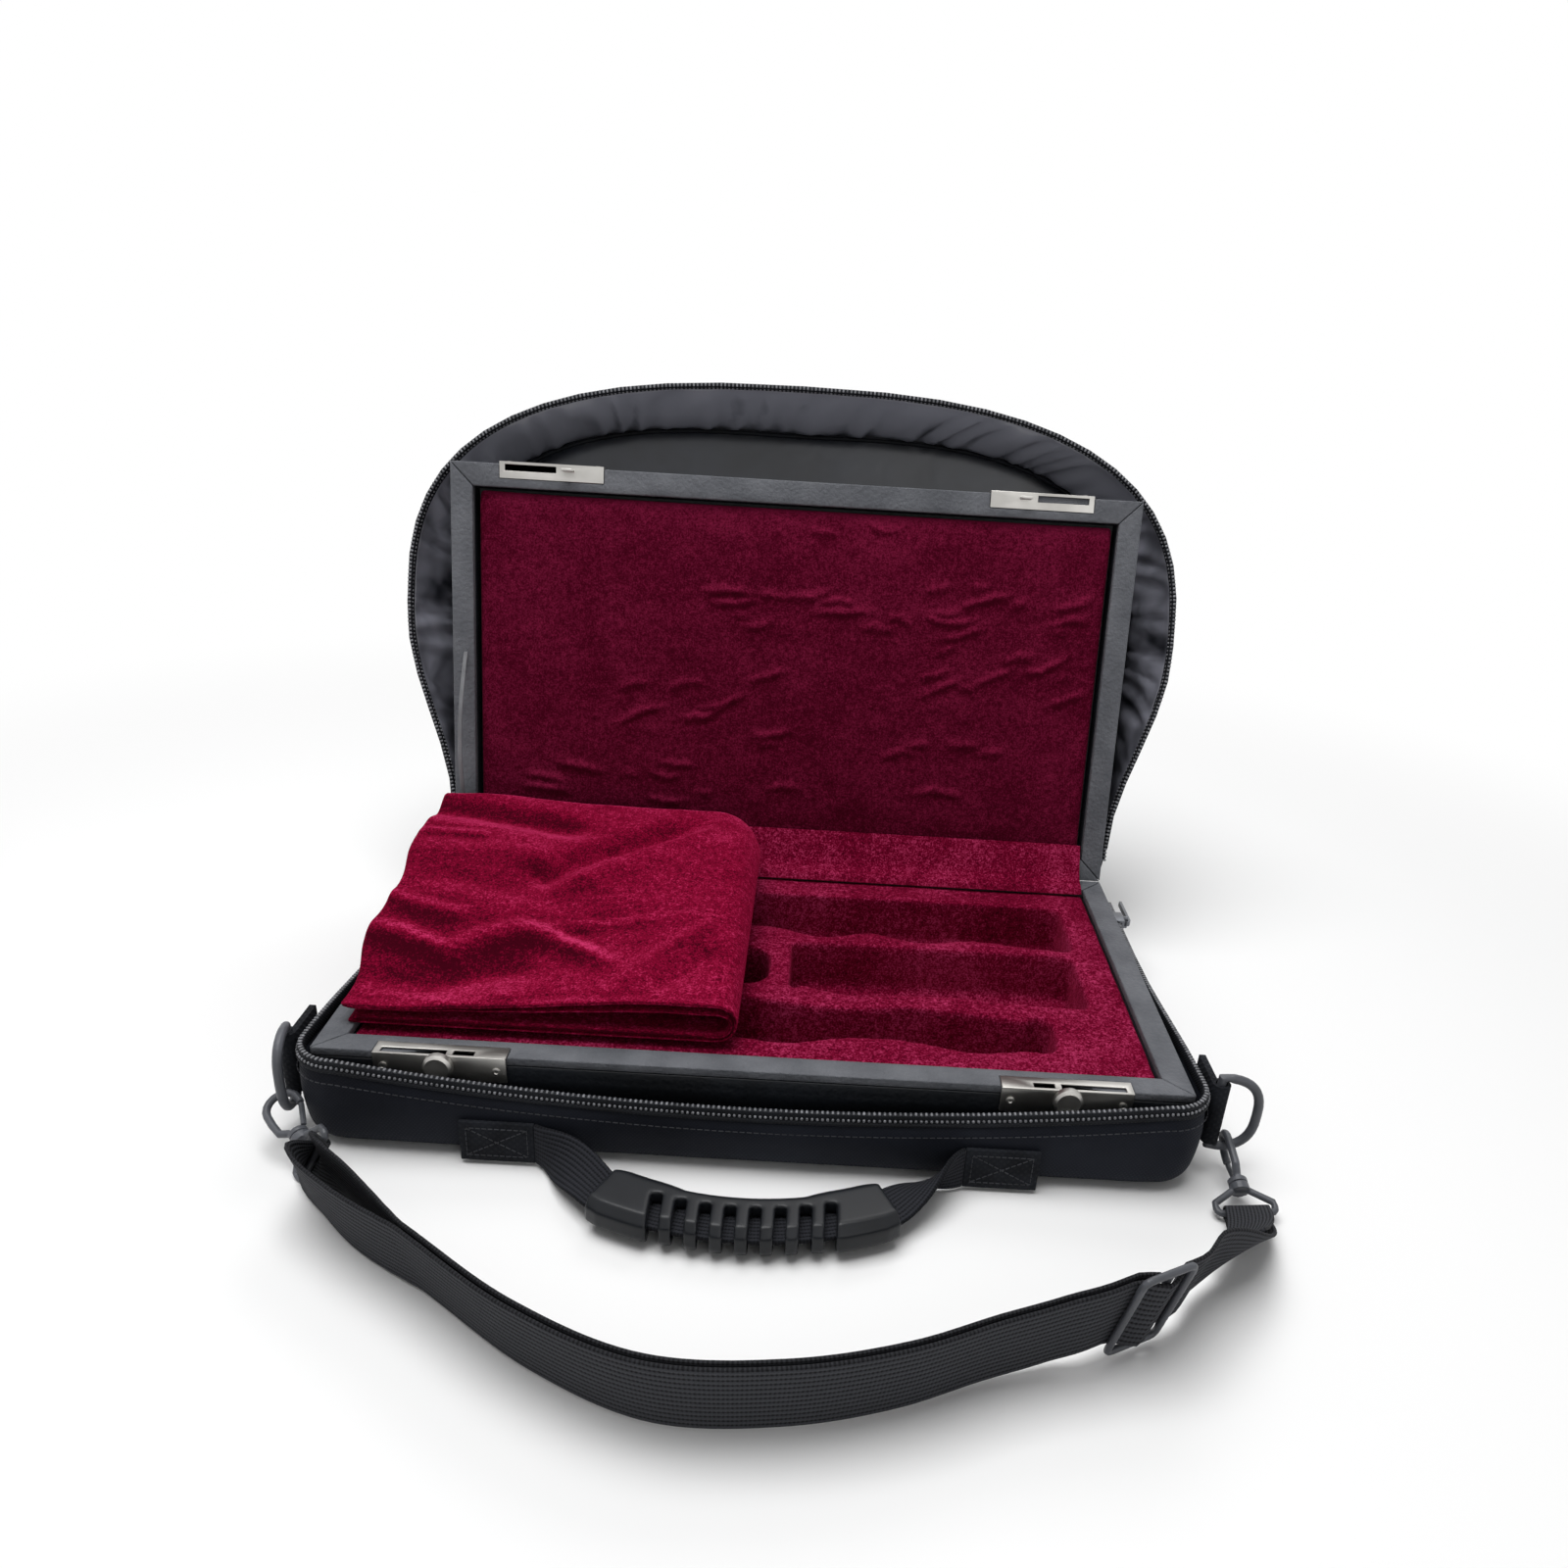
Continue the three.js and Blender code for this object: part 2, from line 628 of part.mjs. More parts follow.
function bagBase() {
  const wallBackZ = bagHingeZ - seatGap;
  const topZ = (x, y) => mix(zipTop(x, y) - zipHeight - seatGap, wallBackZ,
    smooth(bagBackY - bagBackCornerRadius, bagBackY - bagWall, y));
  const level = (inset, z, share = 0) => bagOutline(inset).map(([x, y]) => v3(x, y, mix(z, topZ(x, y), share)));
  const r = bagBottomRadius;
  const curve = (turn) => [r * (1 - Math.sin(turn)), r * (1 - Math.cos(turn))];
  const lower = [0, 1, 2, 3, 4].map((i) => curve((i / 4) * (Math.PI / 2)));
  const outer = lower.map(([inset, z]) => level(inset, z));
  const inner = lower.map(([inset, z]) => level(inset + bagWall, z + bagWall)).reverse();
  return loft([
    ...outer, level(-bagBulge, r, 0.45), level(0, r, 1),
    level(bagWall, r, 1), level(bagWall - bagBulge, r, 0.45), ...inner]);
}

function zipBase() {
  const outline = bagOutline(bagWall / 2);
  const zipEndY = bagBackY - bagBackCornerRadius - zipHeight;
  const start = outline.findIndex(([x, y]) => x > 0 && y > zipEndY);
  const end = outline.findIndex(([x, y]) => x < -innerHalfWidth && y < zipEndY && y > 0);
  const run = [...outline.slice(end), ...outline.slice(0, start)];
  const line = run.map(([x, y]) => v3(x, y, zipTop(x, y) - zipHeight / 2));
  return sweep(flatSection(zipThickness, zipHeight), planarPlaces(line, v3(0, 0, 1)));
}

// The bag lid's outline: an oval over the top and nearly straight sides down to the hinge
const lidHingeSteps = 8;

function lidOutline(inset) {
  const centre = bagLidLength - bagLidOvalRise;
  const halfW = bagLidHalfWidth - inset;
  const rise = bagLidOvalRise - inset;
  const widthAt = (s) => mix(bagLidHingeHalfWidth, bagLidHalfWidth,
    smooth(centre * 0.16, centre * 0.95, s)) - inset;
  const sideSteps = 7;
  const topSteps = 26;
  const side = Array.from({ length: sideSteps }, (_, i) => {
    const s = mix(inset, centre, i / sideSteps);
    return [widthAt(s), s];
  });
  const oval = Array.from({ length: topSteps + 1 }, (_, i) => {
    const turn = (i / topSteps) * Math.PI;
    const c = Math.cos(turn);
    const power = 2 / ovalPower;
    return [Math.sign(c) * Math.abs(c) ** power * halfW, centre + Math.sin(turn) ** power * rise];
  });
  const otherSide = side.map(([x, s]) => [-x, s]).reverse();
  const hingeEdge = Array.from({ length: lidHingeSteps - 1 }, (_, i) => (
    [mix(-side[0][0], side[0][0], (i + 1) / lidHingeSteps), inset]));
  return [...side, ...oval, ...otherSide, ...hingeEdge];
}

function bagLid() {
  const level = (inset, z) => lidOutline(inset).map(([x, s]) => v3(x, -s, z));
  const edgeZ = (s) => mix(seatGap, zipHeight + seatGap, smooth(bagWall, zipHeight * 3, s));
  const edge = (inset) => lidOutline(inset).map(([x, s]) => v3(x, -s, edgeZ(s)));
  const r = bagLidBackRadius;
  const turns = [0, 1, 2, 3].map((i) => (i / 3) * (Math.PI / 2));
  const rounded = (wall) => turns.map((turn) => level(
    wall + (r - wall) * (1 - Math.cos(turn)), bagLidDepth - wall - (r - wall) * (1 - Math.sin(turn))));
  const outer = rounded(0);
  const inner = rounded(bagWall);
  return loft([...outer.reverse(), edge(0), edge(bagWall), ...inner]);
}

function zipLid() {
  const outline = lidOutline(bagWall / 2);
  const run = outline.slice(1, outline.length - lidHingeSteps);
  const line = run.map(([x, s]) => v3(x, -s, zipHeight / 2));
  return sweep(flatSection(zipThickness, zipHeight), planarPlaces(line, v3(0, 0, 1)));
}

// The fabric hinge of the bag, in the corner between the back wall and the bag's lid
function bagHingeStrip() {
  const off = seatGap + stripThickness / 2;
  const wallY = bagBackY + off;
  const turn = bagLidOpen - Math.PI / 2;
  const corner = v3(0, wallY, bagHingeZ - off * 1.3);
  const foot = corner.clone().add(v3(0, bagBulge, -stripLeg));
  const toe = corner.clone().add(v3(0, Math.cos(turn) * stripLeg, -Math.sin(turn) * stripLeg));
  const bend = stripLeg / 6;
  const down = corner.clone().add(v3(0, bagBulge * bend / stripLeg, -bend));
  const out = corner.clone().lerp(toe, bend / stripLeg);
  const round = down.clone().add(out).add(corner).divideScalar(3);
  return sweep(flatSection(stripThickness, stripHalfWidth * 2), planarPlaces([foot, down, round, out, toe], v3(1, 0, 0)));
}

// The continuous hinge: a leaf with every second knuckle, and the pin
function hingeLeaf(parity, direction) {
  const z = -direction * seamGap / 2;
  const zs = [z, z - direction * leafThickness].sort((a, b) => a - b);
  const length = (hingeHalfLength * 2) / knuckleCount;
  const plate = solid(block([-hingeHalfLength, -leafWidth, zs[0]], [hingeHalfLength, 0, zs[1]]));
  const pinHole = solid(bar(v3(-halfWidth, 0, 0), v3(halfWidth, 0, 0), pinRadius + seatGap, 12));
  const knuckles = [];
  const gaps = [];
  for (let k = 0; k < knuckleCount; k += 1) {
    const x0 = -hingeHalfLength + k * length;
    if (k % 2 === parity) {
      knuckles.push(solid(bar(v3(x0 + seatGap, 0, 0), v3(x0 + length - seatGap, 0, 0), barrelRadius, 12)));
    } else {
      gaps.push(solid(bar(v3(x0 - seatGap, 0, 0), v3(x0 + length + seatGap, 0, 0), barrelRadius + seatGap * 1.5, 12)));
    }
  }
  return shape3(cut(join(cut(plate, gaps), knuckles), [pinHole]));
}

function hingePin() {
  const end = hingeHalfLength - seatGap;
  return bar(v3(-end, 0, 0), v3(end, 0, 0), pinRadius, 10);
}

// The latches on the base
function latchPlate(side) {
  const slots = [[longSlotStart, longSlotLength], [hookSlotStart, hookSlotLength]];
  const plate = anglePlate(side, rimZ, 1, -halfDepth, slots);
  const stemT = plateLength / 2;
  const [x0, x1] = latchX(side, stemT - stemRadius - boltTravel - seatGap, stemT + stemRadius + seatGap);
  const z = rimZ - knobDrop;
  const opening = solid(block([x0, -halfDepth - plateThickness * 2 - overrun, z - stemRadius - seatGap],
    [x1, -halfDepth, z + stemRadius + seatGap]));
  return shape3(plate.subtract(opening));
}

function boltFaceY() {
  return -halfDepth + latchPocketY() - boltThickness / 2;
}

function latchBolt(side) {
  const y0 = boltFaceY();
  const y1 = y0 + boltThickness;
  const hookEnd = hookStart + hookWidth;
  const toothStart = hookEnd + seatGap;
  const postStart = toothStart + boltTooth;
  const postEnd = postStart + boltPost;
  const barTop = rimZ - boltBarTop;
  const [b0, b1] = latchX(side, boltStart, postEnd);
  const [p0, p1] = latchX(side, postStart, postEnd);
  const [t0, t1] = latchX(side, toothStart, postEnd);
  const [s0, s1] = latchX(side, plateLength / 2 - stemRadius * 1.8, plateLength / 2 + stemRadius * 1.8);
  const toothTop = rimZ - hookNotchTop - (hookNotchHeight - boltToothHeight) / 2;

  const stemPadTop = rimZ - knobDrop + stemRadius * 1.2;
  const parts = [
    block([p0, y0, barTop - boltBarHeight], [p1, y1, toothTop]),
    block([t0, y0, toothTop - boltToothHeight], [t1, y1, toothTop]),
    block([s0, y0, barTop - boltBarHeight], [s1, y1, stemPadTop])].map(solid);
  return shape3(join(solid(block([b0, y0, barTop - boltBarHeight], [b1, y1, barTop])), parts));
}

function latchKnob(side) {
  const stemLength = seatGap + plateThickness + seatGap + (boltFaceY() + halfDepth) - seatGap;
  const profile = [[0, 0], [stemRadius, 0], [stemRadius, stemLength], [knobRadius, stemLength],
    [knobRadius, stemLength + knobDepth - knobRound], [knobRadius - knobRound, stemLength + knobDepth],
    [knobRadius - knobRound * 2, stemLength + knobDepth - knobRound * 0.4], [0, stemLength + knobDepth]];
  const geometry = new THREE.LatheGeometry(profile.map(([x, y]) => new THREE.Vector2(x, y)), 20);
  geometry.rotateX(Math.PI);
  const [x0, x1] = latchX(side, plateLength / 2, plateLength / 2);
  geometry.translate((x0 + x1) / 2, boltFaceY() - seatGap, rimZ - knobDrop);
  return geometry;
}

// The keeper on the lid, in the lid's own frame: a slotted angle plate with the hook
function keeper(side) {
  const faceZ = seamGap / 2;
  const frontY = -caseDepth;
  const plate = anglePlate(side, faceZ, -1, frontY, [[longSlotStart, longSlotLength]]);
  const [x0, x1] = latchX(side, hookStart, hookStart + hookWidth);
  const y = frontY + latchPocketY();
  const hook = solid(block([x0, y - hookThickness / 2, -hookReach], [x1, y + hookThickness / 2, faceZ + plateThickness / 2]));
  const [n0, n1] = latchX(side, hookStart + hookWidth - hookNotchDepth, hookStart + hookWidth + overrun);
  const notchTop = -seamGap / 2 - hookNotchTop;
  const notch = solid(block([n0, y - hookThickness, notchTop - hookNotchHeight], [n1, y + hookThickness, notchTop]));
  return shape3(plate.add(hook.subtract(notch)));
}

// The lid in its own frame: the hinge line is the origin, it lies shut towards -Y
function lidShell() {
  const lift = seamGap / 2;
  const top = lidHeight - rimHeight - seatGap;
  const outer = solid(pillow(0, 0, top).rotateX(Math.PI).translate(0, -halfDepth, lidHeight + lift));
  const inner = solid(block(
    [-innerHalfWidth, -halfDepth - innerHalfDepth, -overrun],
    [innerHalfWidth, -halfDepth + innerHalfDepth, lidCavityDepth + lift]));
  return shape3(outer.subtract(inner));
}

function lidPanel() {
  const half = innerHalfWidth - lidPadMargin;
  const near = innerHalfDepth - lidPadMargin;
  const lift = seamGap / 2;
  const front = lidPadRecess + lidPadCrown + lift;
  const back = lidPadRecess + lidPadThickness + lift;
  const count = 12;
  const rowPoints = (v) => {
    const y = -halfDepth + mix(-near, near, v);
    const ends = Math.max(1 - (2 * v - 1) ** 6, 0);
    const face = Array.from({ length: count + 1 }, (_, i) => {
      const u = i / count;
      const crown = lidPadCrown * Math.max(1 - (2 * u - 1) ** 6, 0) * ends;
      return v3(mix(-half, half, u), y, front - crown);
    });
    return [...face, v3(half, y, back), v3(-half, y, back)];
  };
  const rows = 9;
  return loft(Array.from({ length: rows + 1 }, (_, i) => rowPoints((1 - Math.cos((i / rows) * Math.PI)) / 2)));
}

// The handle
const handleY = bagFrontY - bagBulge - seatGap - webThickness / 2;
const handleZ = patchBottom + webWidth / 2;
const gripZ = gripThickness / 2 + gripCollar + seatGap * 2;

function handlePatch(side) {
  const xs = [side * (patchInnerX + patchLength), side * patchInnerX].sort((a, b) => a - b);
  return block([xs[0], handleY - webThickness / 2, patchBottom],
    [xs[1], handleY + webThickness / 2, patchBottom + webWidth]);
}

function gripLine(share) {
  const x = mix(-gripHalfLength, gripHalfLength, share);
  const bow = gripBow * (1 - (2 * share - 1) ** 2);
  return v3(x, handleY - gripReach - bow, gripZ);
}

function gripPlaces(steps, from = 0, to = 1) {
  const points = Array.from({ length: steps + 1 }, (_, i) => gripLine(mix(from, to, i / steps)));
  return planarPlaces(points, v3(0, 0, 1));
}

function handleGrip() {
  const half = gripWidth / 2;
  const [w, t] = [half, gripThickness / 2];
  const section = [[-w, -t * 0.45], [-w * 0.72, -t], [w * 0.62, -t], [w * 0.94, -t * 0.55], [w, 0],
    [w * 0.94, t * 0.55], [w * 0.62, t], [-w * 0.72, t], [-w, t * 0.45]];
  const steps = 22;
  const places = gripPlaces(steps).map((place, i) => {
    const share = i / steps;
    const fromEnd = Math.min(share, 1 - share);
    const tip = smooth(0, 0.04, fromEnd);
    return { ...place, scale: mix(1.04, 0.9, smooth(0.2, 0.27, fromEnd)) * mix(0.92, 1, tip) };
  });
  const body = solid(sweep(section, places));
  const boreShare = 0.02;
  const bore = solid(sweep(flatSection(webWidth + seatGap * 5, webThickness + seatGap * 5),
    gripPlaces(14, -boreShare, 1 + boreShare)));
  const slots = Array.from({ length: gripSlots }, (_, i) => {
    const x = (i - (gripSlots - 1) / 2) * gripSlotPitch;
    const y = gripLine(0.5 + x / (gripHalfLength * 2)).y;
    return solid(block([x - gripSlotWidth / 2, y - gripWidth, -gripThickness],
      [x + gripSlotWidth / 2, y + gripWidth * 0.12, gripThickness * 3]));
  });
  return shape3(cut(body, [bore, ...slots]));
}

// The handle's webbing from a patch, with a quarter twist, and on through half of the grip
function handleWeb(side) {
  const start = v3(side * (patchInnerX - seatGap), handleY, handleZ);
  const end = gripLine(side < 0 ? 0 : 1);
  const bend = v3(side * mix(patchInnerX, gripHalfLength, 0.45), mix(start.y, end.y, 0.35), mix(handleZ, gripZ, 0.3));
  const curve = new THREE.CatmullRomCurve3([start, bend, end]);
  const free = curve.getPoints(8).map((at, i, all) => {
    const chord = all[Math.min(i + 1, 8)].clone().sub(all[Math.max(i - 1, 0)]).normalize();
    const ahead = i ? chord : v3(-side, 0, 0);
    const turn = smooth(0, 1, i / 8) * (Math.PI / 2);
    const flat = v3(0, 0, 1).cross(ahead).normalize();
    const u = v3(0, 0, 1).multiplyScalar(Math.cos(turn)).addScaledVector(flat, Math.sin(turn));
    return { at, u, v: ahead.clone().cross(u).normalize() };
  });
  const inside = gripPlaces(7, side < 0 ? 0 : 1, 0.5 + side * seatGap / gripHalfLength);
  return sweep(flatSection(webWidth, webThickness), [...free, ...inside.slice(1)]);
}

// Rings in their tabs. The bar of the ring stands upright, at x and y
const tabOuter = ringWire / 2 + seatGap + tabLayer;
const ringX = bagOuterX + bagBulge + seatGap + tabOuter;
const ringY = bagFrontY + bagCornerRadius;

const ringTurns = { left: -8, right: 86 };
const ringSquare = 0.72;
const sideOf = { left: -1, right: 1 };

function ringOut(hand) {
  const turn = THREE.MathUtils.degToRad(ringTurns[hand]);
  return v3(Math.sin(turn) * sideOf[hand], -Math.cos(turn), 0);
}

// A point on the round part of the ring, by its angle below the middle
function ringPoint(hand, degrees) {
  const angle = THREE.MathUtils.degToRad(degrees);
  const out = ringReach * Math.cos(angle) ** ringSquare;
  const up = (ringBar / 2) * Math.sign(Math.sin(angle)) * Math.abs(Math.sin(angle)) ** ringSquare;
  return v3(sideOf[hand] * ringX, ringY, ringMiddleZ + up).addScaledVector(ringOut(hand), out);
}

function ringLoop(hand) {
  const half = ringBar / 2;
  const base = v3(sideOf[hand] * ringX, ringY, ringMiddleZ);
  const straight = [0, 1, 2, 3].map((i) => base.clone().add(v3(0, 0, mix(-half, half, i / 4))));
  const steps = 20;
  const round = Array.from({ length: steps }, (_, i) => ringPoint(hand, mix(90, -90, i / steps)));
  const square = ringOut(hand).cross(v3(0, 0, 1)).normalize();
  return sweep(roundSection(ringWire / 2, 8), planarPlaces([...straight, ...round], square, true), true);
}

// A tab of webbing round the ring's bar, its tail flat on the bag's side
function strapTab(side) {
  const tailInner = tabOuter - tabLayer * 2;
  const outline = new THREE.Shape();
  outline.absarc(0, 0, tabOuter, Math.PI, Math.PI * 2 + Math.acos(-tailInner / tabOuter), false);
  outline.lineTo(-tailInner, tabTail);
  outline.lineTo(-tabOuter, tabTail);
  outline.closePath();
  const mirrored = (path) => path.getPoints(8).map((p) => new THREE.Vector2(p.x * side, p.y));
  const tab = new THREE.Shape(mirrored(outline));
  const hole = new THREE.Path();
  hole.absarc(0, 0, ringWire / 2 + seatGap, 0, Math.PI * 2, true);
  tab.holes.push(new THREE.Path(mirrored(hole)));
  const geometry = new THREE.ExtrudeGeometry(tab, { depth: tabWidth, bevelEnabled: false });
  return geometry.translate(side * ringX, ringY, ringMiddleZ - tabWidth / 2);
}

// A snap hook in its own frame: the swivel's face is the origin, the bow is up
const bowZ = hookLength - hookBow - hookWire / 2;
const hookSpineX = collarRadius - hookWire / 2;

function snapHookBody() {
  const points = [v3(hookSpineX, 0, collarHeight / 2), v3(hookSpineX, 0, collarHeight + hookWire * 0.3),
    v3(hookBow * 0.9, 0, collarHeight + hookWire * 1.2), v3(hookBow, 0, bowZ * 0.7)];
  const bowSteps = 9;
  for (let i = 0; i <= bowSteps; i += 1) {
    const turn = (i / bowSteps) * Math.PI;
    points.push(v3(Math.cos(turn) * hookBow, 0, bowZ + Math.sin(turn) * hookBow));
  }
  points.push(v3(-hookBow, 0, bowZ - noseDrop));
  const wire = solid(sweep(roundSection(hookWire / 2, 8), planarPlaces(points, v3(0, 1, 0))));
  const collar = solid(bar(v3(0, 0, seatGap / 2), v3(0, 0, collarHeight), collarRadius, 14));
  const bore = solid(bar(v3(0, 0, -overrun), v3(0, 0, collarHeight + overrun), rivetRadius + seatGap, 12));
  const headRoom = solid(bar(v3(0, 0, collarHeight), v3(0, 0, collarHeight * 3), rivetRadius + seatGap * 3, 12));
  return shape3(cut(wire.add(collar), [bore, headRoom]));
}

function gateEnds() {
  const low = v3(gateRadius * 0.6 - collarRadius, 0, collarHeight + seatGap + gateRadius);
  const top = v3(-hookBow, 0, bowZ - noseDrop - seatGap * 2);
  return [low, top];
}

function snapGate() {
  const [low, top] = gateEnds();
  return bar(low, top, gateRadius, 8);
}

// The swivel: a loop for the strap, with a collar and a rivet up through the hook's collar
function swivelEye() {
  const low = -eyeCollar - eyeHeight;
  const half = eyeWidth / 2;
  const round = eyeHeight * 0.25;
  const loop = new THREE.Shape();
  loop.moveTo(-half + round, low);
  loop.lineTo(half - round, low);
  loop.quadraticCurveTo(half, low, half, low + round);
  loop.lineTo(half, low + eyeHeight * 0.45);
  loop.lineTo(collarRadius * 0.8, low + eyeHeight);
  loop.lineTo(-collarRadius * 0.8, low + eyeHeight);
  loop.lineTo(-half, low + eyeHeight * 0.45);
  loop.lineTo(-half, low + round);
  loop.quadraticCurveTo(-half, low, -half + round, low);
  const points = loop.getPoints(3).slice(0, -1).map((p) => v3(p.x, 0, p.y));
  const ring = solid(sweep(roundSection(eyeWire / 2, 8), planarPlaces(points, v3(0, 1, 0), true), true));
  const headTop = collarHeight + seatGap + rivetHead;
  const parts = [
    bar(v3(0, 0, low + eyeHeight - eyeWire / 4), v3(0, 0, -seatGap / 2), collarRadius, 14),
    bar(v3(0, 0, -eyeCollar), v3(0, 0, headTop), rivetRadius, 12),
    bar(v3(0, 0, headTop - rivetHead), v3(0, 0, headTop), rivetRadius + seatGap * 2, 12)];
  return shape3(join(ring, parts.map(solid)));
}

// How far the ring's wire lies past the middle of the hook's bow
const hookSeat = hookBow - (hookWire + ringWire) / 2 - seatGap * 2;

// Where each hook hangs: the ring's angle, the pull and the way its strap bar lies
const hookSets = {
  left: { ringAngle: -40, pull: v3(0.7, -0.75, -0.25), barWay: v3(0.42, 0.2, 0.88), outShare: 0.13, upShare: 0.03 },
  right: { ringAngle: -76, pull: v3(0.05, -0.95, -0.3), barWay: v3(0.95, 0.14, 0.1), outShare: 0.09, upShare: 0.03 },
};

function hookFrame(hand) {
  const { ringAngle, pull, barWay, outShare, upShare } = hookSets[hand];
  const bow = ringPoint(hand, ringAngle).add(v3(sideOf[hand] * ringReach * outShare, 0, ringReach * upShare));
  const down = pull.clone().normalize();
  const tangent = ringPoint(hand, ringAngle + 2).sub(ringPoint(hand, ringAngle - 2)).normalize();
  const square = tangent.addScaledVector(down, -tangent.dot(down)).normalize();
  const across = barWay.clone().addScaledVector(down, -barWay.dot(down)).normalize();
  const up = down.clone().negate();
  const origin = bow.clone().addScaledVector(down, bowZ + hookSeat);
  const basis = (x) => new THREE.Matrix4().makeBasis(x, up.clone().cross(x), up).setPosition(origin);
  const hookX = square.clone().cross(up).normalize();
  const strapBar = origin.clone().addScaledVector(down, eyeCollar + eyeHeight);
  return { hook: basis(hookX), eye: basis(across), strapBar, across };
}

// The strap's lower edge on the table, as shares of its reach
const strapRouteShares = [[-0.84, -0.61, 0], [-0.725, -0.693, 0], [-0.54, -0.805, 0], [-0.335, -0.92, 0],
  [-0.12, -0.992, 0], [0.1, -0.988, 0], [0.29, -0.95, 0], [0.45, -0.895, 0.1], [0.58, -0.862, 0.6],
  [0.67, -0.838, 1], [0.78, -0.79, 1], [0.86, -0.73, 1]];
const sliderKey = 10.5;

// The strap's middle line: keys of a point and the way its width lies
function strapKeys() {
  const lift = (sliderHeight - strapWidth) / 2 + seatGap;
  const foot = seatGap + (strapPitch + strapBulge + strapThickness) * (strapLean / strapWidth);
  const ground = strapRouteShares.map(([x, y, z]) => v3(x * strapReachX, y * strapReachY, foot + z * lift));
  const rise = Math.sqrt(strapWidth ** 2 - strapLean ** 2);
  const standing = ground.map((at, i) => {
    const ahead = ground[Math.min(i + 1, ground.length - 1)].clone().sub(ground[Math.max(i - 1, 0)]).normalize();
    const across = v3(0, 0, rise).addScaledVector(ahead.cross(v3(0, 0, 1)), strapLean).divideScalar(strapWidth);
    return { at: at.clone().addScaledVector(across, strapWidth / 2), across };
  });
  const [left, right] = [hookFrame('left'), hookFrame('right')];
  const last = standing[standing.length - 1];
  const turning = [0.4, 0.76].map((share, i) => {
    const at = last.at.clone().lerp(right.strapBar, share).add(v3(strapLean * [0.7, 0.5][i], -strapLean * 0.5, 0));
    return { at, across: last.across.clone().lerp(right.across, share).normalize() };
  });
  return [{ at: left.strapBar, across: left.across }, ...standing, ...turning,
    { at: right.strapBar, across: right.across }];
}

// Even stations along the strap's middle line, closer together at the slider and at the ends
function strapStations() {
  const keys = strapKeys();
  const middle = new THREE.CatmullRomCurve3(keys.map(({ at }) => at));
  const tips = new THREE.CatmullRomCurve3(keys.map(({ at, across }) => at.clone().addScaledVector(across, strapWidth)));
  const fine = 600;
  const dense = Array.from({ length: fine + 1 }, (_, i) => middle.getPoint(i / fine));
  const lengths = [0];
  dense.slice(1).forEach((point, i) => lengths.push(lengths[i] + point.distanceTo(dense[i])));
  const total = lengths[fine];
  const sliderAt = lengths[Math.round(fine * sliderKey / (keys.length - 1))];
  const stepAt = (s) => {
    if (Math.abs(s - sliderAt) < sliderLength * 0.62) return sliderBar * 0.8;
    return Math.min(s, total - s) < strapTaper * 1.4 ? strapStep * 0.45 : strapStep;
  };
  const marksTo = (end) => {
    const marks = [];
    const way = Math.sign(end - sliderAt);
    for (let s = sliderAt; Math.abs(end - s) > stepAt(s) * 1.3;) {
      s += way * stepAt(s);
      marks.push(s);
    }
    return [...marks, end];
  };
  const marks = [...marksTo(0).reverse(), sliderAt, ...marksTo(total)];
  const place = (s) => {
    const index = lengths.findIndex((length) => length >= s - seatGap / 100);
    const t = Math.max(index, 0) / fine;
    const at = middle.getPoint(t);
    return { at, across: tips.getPoint(t).sub(at).normalize(), ahead: middle.getTangent(t) };
  };
  const seat = place(sliderAt);
  seat.ahead.addScaledVector(seat.across, -seat.ahead.dot(seat.across)).normalize();
  return marks.map((s) => {
    const { at, across, ahead } = place(s);
    const fromSlider = s - sliderAt;
    const straight = 1 - smooth(sliderLength * 0.6, sliderLength * 1.4, Math.abs(fromSlider));
    at.lerp(seat.at.clone().addScaledVector(seat.ahead, fromSlider), straight);
    across.lerp(seat.across, straight).normalize();
    ahead.lerp(seat.ahead, straight);
    ahead.addScaledVector(across, -ahead.dot(across)).normalize();
    const outward = ahead.clone().cross(across).normalize();
    const fromEnd = Math.min(s, total - s);
    const scale = mix(strapEndWidth / strapWidth, 1, smooth(strapThickness * 2, strapTaper, fromEnd));
    return { at, ahead, across, outward, scale, s, fromRight: total - s, fromSlider };
  });
}

const strapWrap = eyeWire / 2 + seatGap + strapThickness / 2;
const sliderOffset = sliderBar / 2 + strapThickness / 2 + seatGap * 2;
const sliderReach = sliderLength / 2 - sliderBar / 2;

// How far the front layer and the layer behind lie from the middle line
function frontOffset({ s, fromRight, fromSlider }) {
  const bulge = strapBulge * Math.sin(Math.min(s / strapBulgeLength, 1) * Math.PI);
  const left = mix(strapWrap, strapPitch / 2, smooth(0, strapBulgeLength, s)) + bulge;
  const flat = left * (1 - smooth(-sliderLength * 2, -sliderReach, fromSlider));
  const over = sliderOffset + sliderBar / 2 + seatGap + strapThickness / 2;
  const weave = over * (1 + Math.cos(Math.min(Math.abs(fromSlider) / sliderReach, 1) * Math.PI)) / 2;
  return flat + weave + strapWrap * (1 - smooth(0, strapEndLoop, fromRight));
}

function backOffset({ s, fromSlider }) {
  const bulge = strapBulge * Math.sin(Math.min(s / strapBulgeLength, 1) * Math.PI);
  const left = mix(strapWrap, strapPitch / 2, smooth(0, strapBulgeLength, s)) + bulge;
  const under = sliderOffset - sliderBar / 2 - seatGap - strapThickness / 2;
  const low = mix(left, strapPitch, smooth(-sliderLength * 2, -sliderReach, fromSlider));
  return mix(-low, under, smooth(-sliderReach * 0.75, 0, fromSlider));
}

